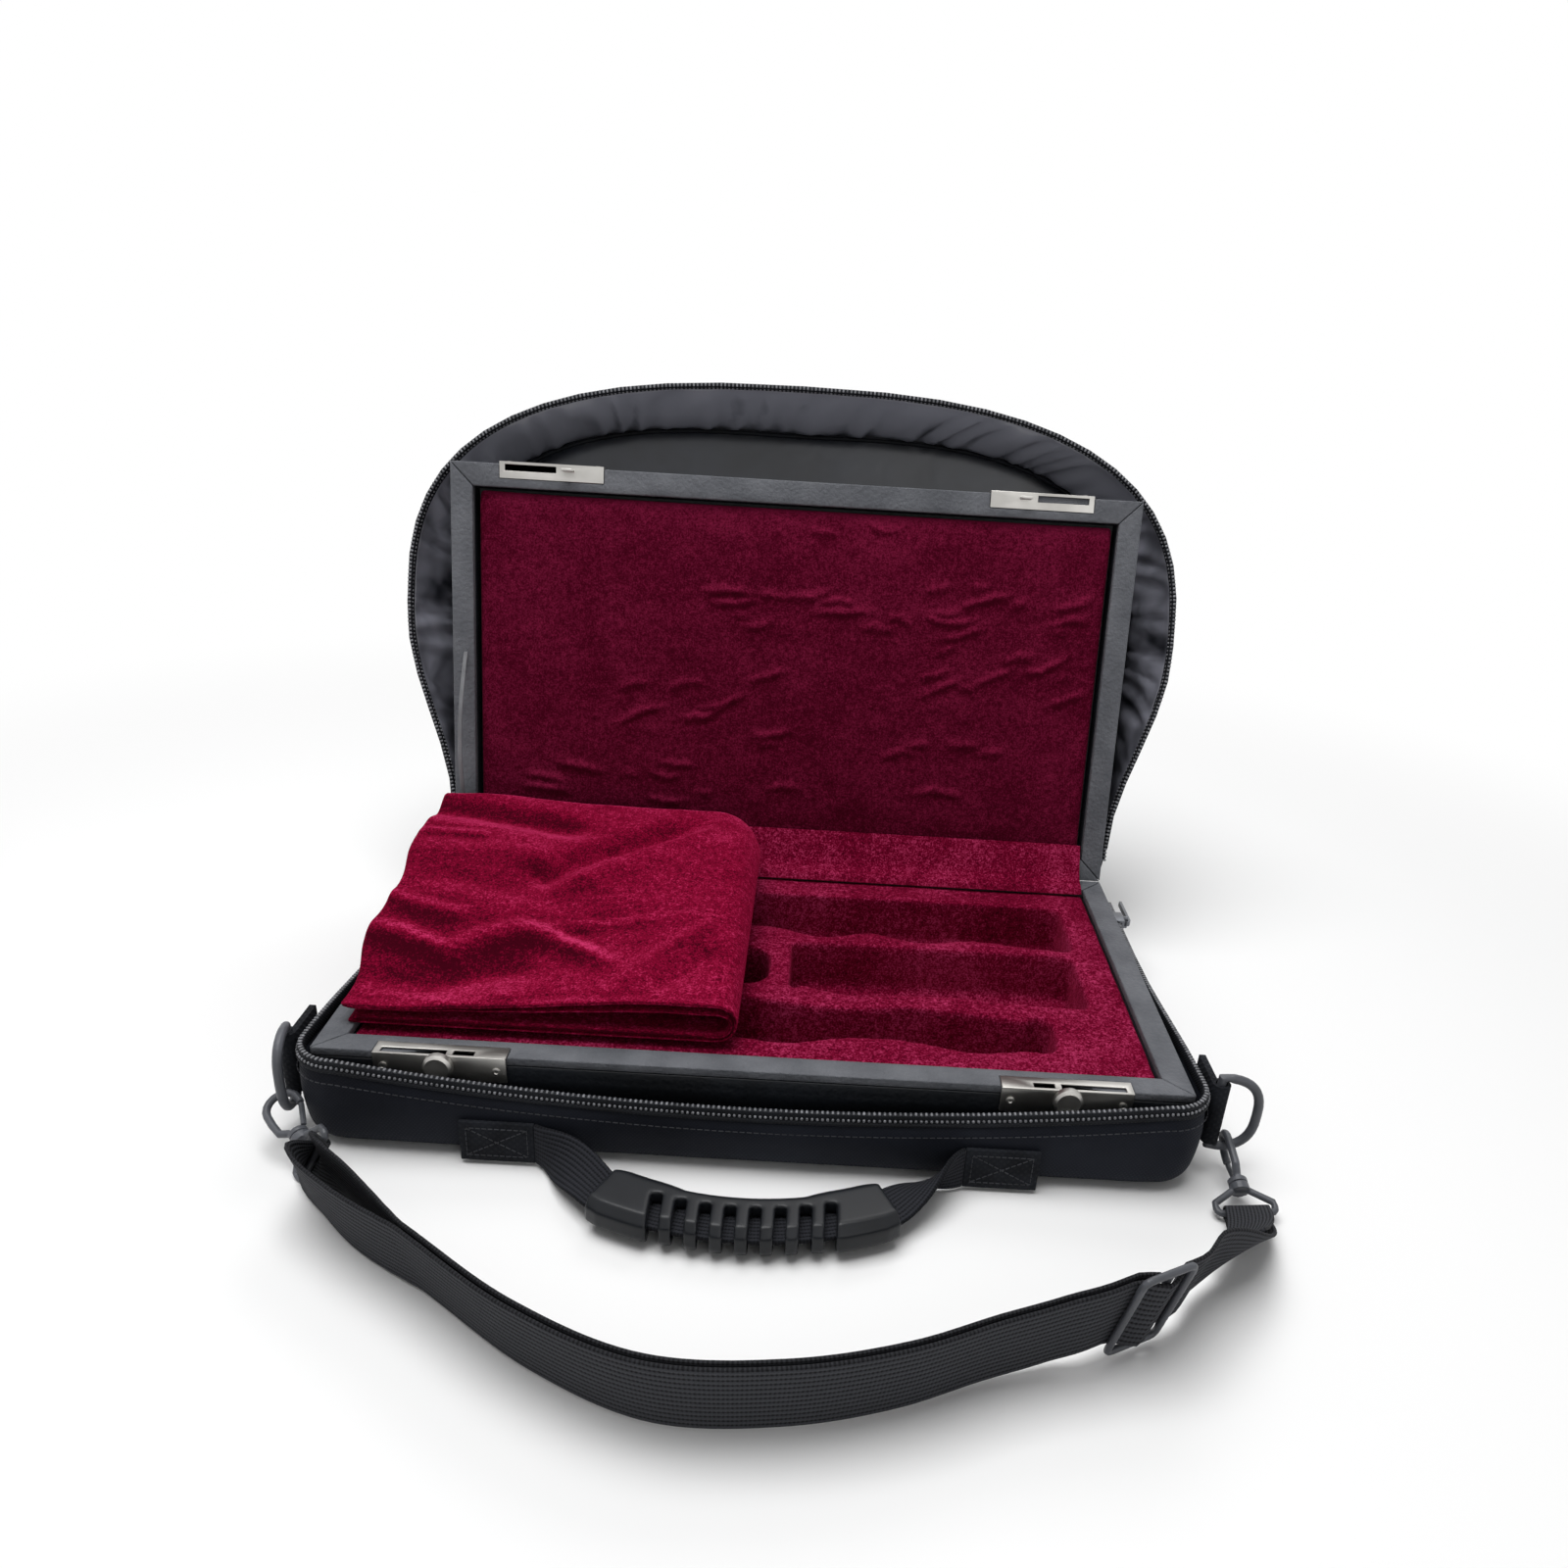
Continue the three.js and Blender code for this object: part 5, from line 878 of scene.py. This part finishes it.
# Painted light and shade: slopes that face back are lighter and those facing the front darker, crests lighter
# and valleys darker
def clothLightAndShade(at, normal):
    if normal.z < 0:
        return 0
    v = clamp(0, (at.y * 1000 - cloth["frontY"]) / (cloth["backY"] - cloth["frontY"]), 1)
    y, left, right = clothEdges(v)
    share = clamp(0, (at.x * 1000 - left) / (right - left), 1)
    crest = crests[round(v * cloth["rows"])][round(share * cloth["crestCells"])]
    crest = clamp(-cloth["crestMost"], crest, cloth["crestMost"])
    return cloth["tone"] * (normal.y * 0.75 + 0.1 * crest - 0.02)


paintLightAndShade(velvetSheet, clothLightAndShade)
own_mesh(velvetSheet)
print("cloth folded")


# The bag's plan, from its right hinge end round the front to the left one
def bagPath(inset, steps=14, cornerSteps=8):
    x = bag["outerX"] - inset
    radius = bag["corner"] - inset
    low = bag["frontY"] + inset
    endY = bag["backY"] - bag["backCorner"] - bag["zipHeight"]
    turns = [math.radians(90 * i / cornerSteps) for i in range(cornerSteps + 1)]
    half = [(x, mix(endY, low + radius, i / steps)) for i in range(steps)]
    half += [(x - radius + radius * math.cos(turn), low + radius - radius * math.sin(turn)) for turn in turns]
    half += [(mix(x - radius, 0, i / steps), low) for i in range(1, steps)]
    return half + [(0, low)] + [(-px, py) for px, py in reversed(half)]


# The height of the zip: it sags along the front and drops along the sides
def zipTop(x, y):
    ahead = 1 - smoothStep(bag["frontY"], -case["halfDepth"] * bag["sagDepth"], y)
    across = min(abs(x) / (bag["outerX"] - bag["corner"]), 1)
    front = bag["cornerZ"] - bag["frontSag"] * (1 - across * across)
    drop = smoothStep(-case["halfDepth"], case["halfDepth"] * bag["dropDepth"], y)
    side = mix(bag["cornerZ"], bag["backZ"], drop)
    return side if abs(x) > bag["outerX"] - bag["corner"] else mix(side, front, ahead)


def aroundBag(inset, drop):
    return [Vector((mm(px), mm(py), mm(zipTop(x, y) - drop)))
            for (x, y), (px, py) in zip(bagPath(bag["zipInset"]), bagPath(inset))]


# The lid's outline from its right hinge end round the oval to the left one. s runs away from the hinge
def lidOutline(inset, sideSteps=14, ovalSteps=60):
    centre = bagLid["length"] - bagLid["ovalRise"]
    halfWidth = bagLid["halfWidth"] - inset
    rise = bagLid["ovalRise"] - inset
    side = []
    for i in range(sideSteps):
        s = mix(bagLid["start"], centre, i / sideSteps)
        flare = smoothStep(centre * bagLid["flare"][0], centre * bagLid["flare"][1], s)
        side.append((mix(bagLid["hingeHalfWidth"], bagLid["halfWidth"], flare) - inset, s))
    oval = []
    power = 2 / bagLid["power"]
    for i in range(ovalSteps + 1):
        turn = math.pi * i / ovalSteps
        c = math.cos(turn)
        oval.append((math.copysign(abs(c) ** power, c) * halfWidth, centre + math.sin(turn) ** power * rise))
    return side + oval + [(-x, s) for x, s in reversed(side)]


# skip leaves out places next to the hinge, where the fabric turns in
def aroundLid(inset, depth, skip=1):
    outline = lidOutline(inset)
    return [Vector((mm(x), -mm(s), mm(depth))) for x, s in outline[skip:len(outline) - skip]]


bagFabric = {"slack": 0.9, "slackSize": 38}


def sag(at, normal):
    upright = 1 - abs(normal.z)
    return at + normal * mm(bagFabric["slack"]) * noise.noise(at / mm(bagFabric["slackSize"])) * upright


bagBody = copyOfNode("bag_base", "bagBaseFabric")
subdivide(bagBody, 2)
moveVertices(bagBody, sag)
shadeSmooth(bagBody)
finishPiece(bagBody, bagNylon, "base", ("bag_base",))

# The zip's halves: a tape, a row of teeth, a row of coil behind it and a cord. Then a row of stitches
zipLook = {"teeth": (1.15, 2.0, 1.0), "pitch": 2.2, "coil": (1.2, 1.1, 1.3), "cord": 1.1,
           "stitch": (2.2, 0.35, 0.45), "stitchPitch": 3.0, "edge": 0.5}

# where the rows lie: how far inside the plan, and how far below the zip's top or the lid's open edge
baseRows = {"teeth": (1.5, 0.1), "coil": (0.0, 2.7), "cord": (0.5, 4.8), "stitches": (-0.9, 10.5)}
lidRows = {"teeth": (1.5, 0.2), "coil": (2.9, 2.2), "cord": (0.8, 5.4), "stitches": (-0.1, 9.5),
           "innerSeam": (4.0, 33), "backWelt": (3.4, 42.5)}


def zipTape(node, name, body):
    tape = copyOfNode(node, name)
    bevelEdges(tape, zipLook["edge"], segments=2, degrees=50)
    shadeByAngle(tape, 50)
    finishPiece(tape, tapeNylon, body, (node,))


def zipRows(half, body, place, around, rows):
    for kind in ("teeth", "coil"):
        row = rowAlong(f"bagZip{kind.title()}{half}", around(*rows[kind]), zipLook[kind], zipLook["pitch"])
        finishPiece(moveMesh(row, place), glintingZipTeeth, body)


def stitchRow(name, body, place, route):
    row = rowAlong(name, route, zipLook["stitch"], zipLook["stitchPitch"])
    finishPiece(moveMesh(row, place), blackThread, body)


zipTape("bag_zip_base", "bagZipTapeBase", "base")
zipRows("Base", "base", Matrix(), aroundBag, baseRows)
cord = tubeAlong("bagZipWeltBase", aroundBag(*baseRows["cord"]), zipLook["cord"])
finishPiece(cord, tapeNylon, "base")
stitchRow("bagSeamStitches", "base", Matrix(), aroundBag(*baseRows["stitches"]))
print("bag base made")

# The lid of the bag: fabric outside, and inside a gathered lining round a smooth panel. Depths run from the
# lid's open edge and "clear" and "room" from its hinge, in millimetres
lining = {"pucker": 4.6, "puckerLength": 13, "puckerSlant": 26, "edge": (5, 12), "ease": 7, "welt": 1.2,
          "panelPucker": 0.6, "panelPuckerSize": 60, "lean": 17, "leanFrom": 3, "leanTo": 49,
          "squeeze": 0.62, "clear": (8, 40), "room": (55, 125), "slack": 0.5, "slackSize": 45,
          "wanderSize": 50, "foldSize": 24, "shadow": (150, 215)}
bagCover = copyOfNode("bag_lid_shell", "bagLidFabric")
moveMesh(bagCover, bagLidFrame.inverted())
subdivide(bagCover, 3)
middleY = -mm(bagLid["length"] * 0.5)


def isInside(at, normal):
    if abs(normal.z) > 0.7:
        return normal.z < 0 and at.z > mm(20)
    return normal.x * at.x + normal.y * (at.y - middleY) < 0


def towardsMiddle(at):
    return Vector((-at.x, middleY - at.y, 0)).normalized()


def gather(at, normal):
    if not isInside(at, normal):
        return at + normal * mm(lining["slack"]) * noise.noise(at / mm(lining["slackSize"]))
    seam = lidRows["innerSeam"][1]
    upright = 1 - abs(normal.z)
    clear = easedOver(lining["clear"], -at.y)
    room = easedOver(lining["room"], -at.y)
    along = math.atan2(at.y - middleY, at.x * lining["squeeze"]) * bagLid["length"] * lining["squeeze"]
    slant = along / lining["puckerLength"] + at.z / mm(lining["puckerSlant"])
    wander = noise.noise(Vector((slant * 0.45, at.z / mm(lining["wanderSize"]), 2.0)))
    fold = 0.55 * math.sin(math.tau * (slant * 0.75 + wander * 1.6))
    fold += 0.6 * noise.noise(Vector((slant * 2.2, at.z / mm(lining["foldSize"]), 6.0)))
    strip = easedOver(lining["edge"], at.z) * easedOver((seam, seam - lining["ease"]), at.z)
    height = strip * clear * upright * mm(lining["pucker"]) * (0.25 + 0.75 * room) * (fold * 0.6 + 0.3)
    calm = (1 - upright) * mm(lining["panelPucker"]) * noise.noise(at / mm(lining["panelPuckerSize"]))
    lean = mm(lining["lean"]) * easedOver((lining["leanFrom"], seam), at.z)
    lean *= easedOver((lining["leanTo"], seam + 2), at.z)
    return at + normal * (height + calm) + towardsMiddle(at) * lean * room * upright


def gatherLightAndShade(at, normal):
    # painted light and shade: the folds' tops get painted highlights, their sides don't, and the sides of the
    # bag are painted darker, as shade where they turn away from the light
    side = easedOver(lining["shadow"], abs(at.x))
    return 0.55 * normal.x * (1 if at.x < 0 else -1) * (1 - side) - 0.3 * side + 0.35 * (-normal.z) + 0.1


bagCover.data.materials.clear()
for material in (bagNylon, liningTaffeta, litGatheredTaffeta):
    bagCover.data.materials.append(material)
for face in bagCover.data.polygons:
    inside = isInside(face.center, face.normal)
    face.material_index = 0 if not inside else 2 if face.center.z < mm(lidRows["innerSeam"][1]) else 1
moveVertices(bagCover, gather)
paintLightAndShade(bagCover, gatherLightAndShade)
moveMesh(bagCover, bagLidFrame)
shadeSmooth(bagCover)
finishPiece(bagCover, None, "bag_cover", ("bag_lid_shell",))

zipTape("bag_zip_lid", "bagZipTapeLid", "bag_cover")
zipRows("Lid", "bag_cover", bagLidFrame, aroundLid, lidRows)
innerSeam = [at + towardsMiddle(at) * mm(lining["lean"]) * easedOver(lining["room"], -at.y)
             for at in aroundLid(*lidRows["innerSeam"], skip=2)]
for name, route, radius in (("bagLidInnerSeam", innerSeam, lining["welt"]),
                            ("bagLidZipWelt", aroundLid(*lidRows["cord"]), zipLook["cord"]),
                            ("bagLidBackWelt", aroundLid(*lidRows["backWelt"], skip=2), lining["welt"])):
    finishPiece(moveMesh(tubeAlong(name, route, radius), bagLidFrame), tapeNylon, "bag_cover")
stitchRow("bagLidStitches", "bag_cover", bagLidFrame, aroundLid(*lidRows["stitches"], skip=2))

bagHinge = subdividedCopy("bag_hinge_strip", "bagHingeStrip", simple=2, levels=1)
finishPiece(bagHinge, bagNylon, None, ("bag_hinge_strip",))
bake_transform(bagHinge)
print("bag lid made")


# Webbing: a flat band through places of (middle, way of the width, scale), with its own map in real metres.
# Its width and thickness are in millimetres
def band(name, places, width, thickness, columns):
    vertices, lengths = [], [0.0]
    for i, (at, across, scale) in enumerate(places):
        vertices += [at + across * (mm(width) * scale * (c / columns - 0.5)) for c in range(columns + 1)]
        if i:
            lengths.append(lengths[-1] + (at - places[i - 1][0]).length)
    side = columns + 1
    faces = [(r * side + c, (r + 1) * side + c, (r + 1) * side + c + 1, r * side + c + 1)
             for r in range(len(places) - 1) for c in range(columns)]
    piece = meshPiece(name, vertices, faces)
    chart = piece.data.uv_layers.new(name="along")
    for loop in piece.data.loops:
        r, c = divmod(loop.vertex_index, side)
        chart.data[loop.index].uv = (mm(width) * c / columns, lengths[r])
    applyModifier(piece, "SOLIDIFY", thickness=mm(thickness), offset=0, use_even_offset=True)
    bevelEdges(piece, thickness * 0.3, segments=2, degrees=60)
    shadeByAngle(piece, 50)
    return piece


# The shoulder strap, in millimetres. Each key of its middle line is a point and the way its width lies.
# Two layers run from the left hook to the slider, and one goes on to the right hook and ends in a loop
strap = {"width": 38, "endWidth": 19, "thick": 1.5, "pitch": 2.4, "gap": 0.3, "bulge": 3.4,
         "bulgeLength": 90, "endLoop": 46, "endBulge": 1.2, "taper": 24, "rightTaper": 72, "step": 4,
         "sliderKey": 10.5, "sliderLength": 26, "sliderBar": 3, "wrap": 2.65, "sliderOffset": 2.85,
         "sliderReach": 11.5, "play": 0.1, "fine": 600}
strapKeys = [
    (-179.8, -138.3, 11.3, 0.471, 0.150, 0.869), (-171.0, -156.4, 20.5, -0.159, -0.176, 0.972),
    (-147.8, -177.4, 20.5, -0.150, -0.184, 0.972), (-110.7, -205.7, 20.5, -0.140, -0.191, 0.972),
    (-69.2, -234.8, 20.5, -0.116, -0.207, 0.972), (-24.9, -253.4, 20.5, -0.046, -0.232, 0.972),
    (20.6, -252.5, 20.5, 0.030, -0.235, 0.972), (59.4, -242.7, 20.5, 0.075, -0.225, 0.972),
    (91.6, -228.8, 21.0, 0.084, -0.221, 0.972), (117.4, -220.6, 23.4, 0.073, -0.224, 0.972),
    (135.9, -214.4, 25.3, 0.097, -0.216, 0.972), (158.6, -202.0, 25.3, 0.138, -0.193, 0.972),
    (175.1, -186.5, 25.3, 0.162, -0.172, 0.972), (196.3, -169.4, 17.0, 0.627, -0.115, 0.771),
    (207.9, -149.9, 9.5, 0.941, -0.021, 0.337), (212.3, -132.4, 4.5, 0.997, 0.031, 0.068)]


# A centripetal Catmull-Rom curve, the same as the model's
def splinePoint(points, share):
    spot = share * (len(points) - 1)
    i = min(int(spot), len(points) - 2)
    t = spot - i
    p1, p2 = points[i], points[i + 1]
    p0 = points[i - 1] if i else p1 * 2 - p2
    p3 = points[i + 2] if i + 2 < len(points) else p2 * 2 - p1
    d0, d1, d2 = (math.sqrt((b - a).length) for a, b in ((p0, p1), (p1, p2), (p2, p3)))
    t1 = ((p1 - p0) / d0 - (p2 - p0) / (d0 + d1) + (p2 - p1) / d1) * d1
    t2 = ((p2 - p1) / d1 - (p3 - p1) / (d1 + d2) + (p3 - p2) / d2) * d1
    return p1 + t1 * t + (p2 * 3 - p1 * 3 - t1 * 2 - t2) * t ** 2 + (p1 * 2 - p2 * 2 + t1 + t2) * t ** 3


# Places along the strap, straight where they pass the slider and narrower at the ends
def strapStations():
    middle = [Vector(key[:3]) for key in strapKeys]
    tips = [Vector(key[:3]) + Vector(key[3:]) * strap["width"] for key in strapKeys]
    fine = strap["fine"]
    dense = [splinePoint(middle, i / fine) for i in range(fine + 1)]
    lengths = [0.0]
    for a, b in zip(dense, dense[1:]):
        lengths.append(lengths[-1] + (b - a).length)
    total = lengths[-1]
    sliderAt = lengths[round(fine * strap["sliderKey"] / (len(strapKeys) - 1))]

    def place(s):
        i = next((k for k, value in enumerate(lengths) if value >= s - 0.003), fine)
        ahead = (dense[min(i + 1, fine)] - dense[max(i - 1, 0)]).normalized()
        return dense[i].copy(), (splinePoint(tips, i / fine) - dense[i]).normalized(), ahead

    seatAt, seatAcross, seatAhead = place(sliderAt)
    seatAhead = (seatAhead - seatAcross * seatAhead.dot(seatAcross)).normalized()
    count = round(total / strap["step"])
    stations = []
    for k in range(count + 1):
        s = total * k / count
        at, across, ahead = place(s)
        away = s - sliderAt
        straight = 1 - smoothStep(strap["sliderLength"] * 0.6, strap["sliderLength"] * 1.4, abs(away))
        at = at.lerp(seatAt + seatAhead * away, straight)
        across = across.lerp(seatAcross, straight).normalized()
        ahead = ahead.lerp(seatAhead, straight)
        ahead = (ahead - across * ahead.dot(across)).normalized()
        full = min(smoothStep(strap["thick"] * 2, strap["taper"], s),
                   smoothStep(strap["taper"], strap["rightTaper"], total - s))
        stations.append({"at": at, "ahead": ahead, "across": across,
                         "outward": ahead.cross(across).normalized(),
                         "scale": mix(strap["endWidth"] / strap["width"], 1, full), "fromLeft": s,
                         "fromRight": total - s, "fromSlider": away})
    return stations


# How far the front layer, the layer behind and the right end's loop lie from the middle line
def leftSwell(station):
    share = min(station["fromLeft"] / strap["bulgeLength"], 1)
    bulge = strap["bulge"] * math.sin(share * math.pi)
    return mix(strap["wrap"], strap["pitch"] / 2, smoothStep(0, 1, share)) + bulge


def frontOffset(station):
    reach, away = strap["sliderReach"], station["fromSlider"]
    flat = leftSwell(station) * (1 - smoothStep(-strap["sliderLength"] * 2, -reach, away))
    over = strap["sliderOffset"] + strap["sliderBar"] / 2 + strap["gap"] + strap["thick"] / 2
    weave = over * (1 + math.cos(min(abs(away) / reach, 1) * math.pi)) / 2
    return flat + weave + strap["wrap"] * (1 - smoothStep(0, strap["endLoop"], station["fromRight"]))


def backOffset(station):
    reach, away = strap["sliderReach"], station["fromSlider"]
    under = strap["sliderOffset"] - strap["sliderBar"] / 2 - strap["gap"] - strap["thick"] / 2
    low = mix(leftSwell(station), strap["pitch"], smoothStep(-strap["sliderLength"] * 2, -reach, away))
    return mix(-low, under, smoothStep(-reach * 0.75, 0, away))


def endOffset(station):
    fromRight = station["fromRight"]
    part = smoothStep(0, strap["endLoop"], fromRight)
    return (-mix(strap["wrap"], strap["pitch"] - strap["wrap"] * (1 - part), part)
            - strap["endBulge"] * math.sin(fromRight / strap["endLoop"] * math.pi))


def laid(station, offset):
    at = station["at"] + station["outward"] * offset
    return at / 1000, station["across"], station["scale"]


# Half a turn round the hook's eye
def wrapped(station, way, steps=10):
    places = []
    for turn in [math.pi * i / steps for i in range(1, steps)]:
        out = station["outward"] * (-way * math.cos(turn)) - station["ahead"] * (way * math.sin(turn))
        at = station["at"] + out * strap["wrap"]
        places.append((at / 1000, station["across"], station["scale"]))
    return places


stations = strapStations()
behind = [station for station in reversed(stations) if station["fromSlider"] < 0]
endLoop = [station for station in reversed(stations) if station["fromRight"] < strap["endLoop"]]
strapPlaces = [laid(station, backOffset(station)) for station in behind]
strapPlaces += wrapped(stations[0], 1)
strapPlaces += [laid(station, frontOffset(station)) for station in stations]
strapPlaces += wrapped(stations[-1], -1)
strapPlaces += [laid(station, endOffset(station)) for station in endLoop]
shoulderStrap = band("shoulderStrapWebbing", strapPlaces, strap["width"], strap["thick"] - strap["play"],
                     columns=16)
finishPiece(shoulderStrap, ribbedWebbing, "base", ("shoulder_strap",))
print("shoulder strap made")

# The handle: webbing from each patch, turned by a quarter and on through the grip
handle = {"y": -121.5, "z": 12, "gripZ": 9.6, "gripHalf": 58, "reach": 27, "bow": 14, "patchX": 92,
          "tucked": 0.3, "bend": (0.45, 0.35, 0.3), "middleGap": 0.006, "width": 20, "thick": 2, "play": 0.1,
          "freeSteps": 16, "gripSteps": 20}


def gripLine(share):
    bow = handle["bow"] * (1 - (2 * share - 1) ** 2)
    return Vector((mix(-handle["gripHalf"], handle["gripHalf"], share), handle["y"] - handle["reach"] - bow,
                   handle["gripZ"]))


for side, sign in (("Left", -1), ("Right", 1)):
    gripEnd = 0 if sign < 0 else 1
    start = Vector((sign * (handle["patchX"] - handle["tucked"]), handle["y"], handle["z"]))
    end = gripLine(gripEnd)
    bendX, bendY, bendZ = handle["bend"]
    bend = Vector((sign * mix(handle["patchX"], handle["gripHalf"], bendX), mix(start.y, end.y, bendY),
                   mix(handle["z"], handle["gripZ"], bendZ)))
    line = [splinePoint([start, bend, end], i / handle["freeSteps"]) for i in range(handle["freeSteps"] + 1)]
    line += [gripLine(mix(gripEnd, 0.5 + sign * handle["middleGap"], i / handle["gripSteps"]))
             for i in range(1, handle["gripSteps"] + 1)]
    places = []
    for i, at in enumerate(line):
        ahead = Vector((-sign, 0, 0))
        if i:
            ahead = (line[min(i + 1, len(line) - 1)] - line[i - 1]).normalized()
        turn = smoothStep(0, 1, min(i / handle["freeSteps"], 1)) * math.pi / 2
        flat = Vector((0, 0, 1)).cross(ahead).normalized()
        places.append((at / 1000, Vector((0, 0, math.cos(turn))) + flat * math.sin(turn), 1))
    web = band("handleWebbing" + side, places, handle["width"], handle["thick"] - handle["play"], columns=10)
    finishPiece(web, handleWebbing, None, (f"handle_web_{side.lower()}",))
    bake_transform(web)

# The patches and tabs: folded webbing. The patches are sewn down with a box and a cross
sewing = {"stitch": (2.0, 0.4, 0.5), "pitch": 2.7, "inset": 3, "out": 0.1, "edge": 0.5}
for side in ("left", "right"):
    for node, name in (("handle_patch", "handlePatch"), ("strap_tab", "strapTab")):
        piece = copyOfNode(f"{node}_{side}", name + side.title())
        bevelEdges(piece, sewing["edge"], segments=3, degrees=50)
        shadeByAngle(piece, 40)
        finishPiece(piece, webNylon, "base", (f"{node}_{side}",))
    low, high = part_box(f"handle_patch_{side}")
    inset = mm(sewing["inset"])
    left, right, bottom, top = low.x + inset, high.x - inset, low.z + inset, high.z - inset
    corners = [Vector((x, low.y - mm(sewing["out"]), z))
               for x, z in ((left, bottom), (right, bottom), (right, top), (left, top))]
    routes = [corners + corners[:1], [corners[0], corners[2]], [corners[1], corners[3]]]
    parts = [rowAlong(f"sewing{side}{i}", route, sewing["stitch"], sewing["pitch"])
             for i, route in enumerate(routes)]
    finishPiece(joinPieces("patchSewing" + side.title(), parts), blackThread, "base")
print("handle webbing and sewing made")


# Floor, light and camera

# 1 for rays that show the stage itself, 0 for those that only light it
def seenDirectly(tree, rays):
    return twoOf(tree, "MAXIMUM", rays.outputs["Is Camera Ray"], rays.outputs["Is Glossy Ray"])


# a pale floor that turns white away from the case, between the two distances in metres
stageLook = {"floor": "#f7f7f7", "size": 12, "fadeFrom": 0.4, "fadeTo": 0.9, "room": 0.22}
floorMaterial, tree, shader, place = startMaterial("pale floor", Roughness=0.9,
                                                   Base_Color=hexLinear(stageLook["floor"]))
away = addNode(tree, "VectorMath", {"operation": "LENGTH"}, {0: place})
fade = addNode(tree, "MapRange", {"From Min": stageLook["fadeFrom"], "From Max": stageLook["fadeTo"],
                                  "interpolation_type": "SMOOTHSTEP"}, {"Value": away.outputs["Value"]})
amount = twoOf(tree, "MULTIPLY", fade.outputs[0], seenDirectly(tree, addNode(tree, "LightPath")))
white = addNode(tree, "Emission", {"Color": (1, 1, 1, 1), "Strength": 1.0})
blended = addNode(tree, "MixShader", {}, {0: amount, 1: shader.outputs[0], 2: white.outputs[0]})
tree.links.new(blended.outputs[0], tree.nodes["Material Output"].inputs["Surface"])
bpy.ops.mesh.primitive_plane_add(size=stageLook["size"], location=(0, 0, -mm(0.2)))
floor = bpy.context.object
floor.name = "paleFloor"
floor.data.materials.append(floorMaterial)

world = bpy.data.worlds.new("soft room")
bpy.context.scene.world = world
world.use_nodes = True
tree = world.node_tree
tree.nodes.clear()
rays = addNode(tree, "LightPath")
seen = twoOf(tree, "MAXIMUM", seenDirectly(tree, rays), rays.outputs["Is Transmission Ray"])
room = addNode(tree, "Background", {"Color": (1, 1, 1, 1), "Strength": stageLook["room"]})
backdrop = addNode(tree, "Background", {"Color": (1, 1, 1, 1), "Strength": 1.0})
chosen = addNode(tree, "MixShader", {}, {0: seen, 1: room.outputs[0], 2: backdrop.outputs[0]})
addNode(tree, "OutputWorld", {}, {0: chosen.outputs[0]})

lamps = {
    "overheadSoftbox": {"place": (-0.2, -0.12, 1.5), "target": (0, 0, 0.05), "size": 1.1, "power": 21},
    "frontFill": {"place": (0.6, -1.5, 0.7), "target": (0, 0, 0.12), "size": 1.0, "power": 2.6},
    "backRim": {"place": (0.3, 1.2, 1.3), "target": (0, 0, 0.15), "size": 0.9, "power": 6},
}
for name, settings in lamps.items():
    bpy.ops.object.light_add(type="AREA", location=settings["place"])
    lamp = bpy.context.object
    lamp.name = lamp.data.name = name
    lamp.data.size, lamp.data.energy = settings["size"], settings["power"]
    way = Vector(settings["target"]) - Vector(settings["place"])
    lamp.rotation_euler = way.to_track_quat("-Z", "Y").to_euler()

# the camera stands where the photograph was taken from. Its place is in millimetres
view = {"place": (19, -528.1, 336.5), "lens": 27.2, "sensor": 36, "shift": (-0.0225, 0.069),
        "right": (0.9983, 0.0173, 0.0549), "down": (0.0569, -0.4369, -0.8977),
        "ahead": (0.0085, 0.8994, -0.4371)}
bpy.ops.object.camera_add()
camera = bpy.context.object
camera.data.sensor_width = view["sensor"]
camera.data.lens = view["lens"]
camera.data.shift_x, camera.data.shift_y = view["shift"]
camera.data.clip_start = 0.02
right, down, ahead = Vector(view["right"]), Vector(view["down"]), Vector(view["ahead"])
turned = Matrix((right, -down, -ahead)).transposed()
camera.matrix_world = Matrix.Translation([mm(value) for value in view["place"]]) @ turned.to_4x4()
bpy.context.scene.camera = camera
bpy.context.scene.view_settings.view_transform = "Standard"
print("floor, light and camera placed")
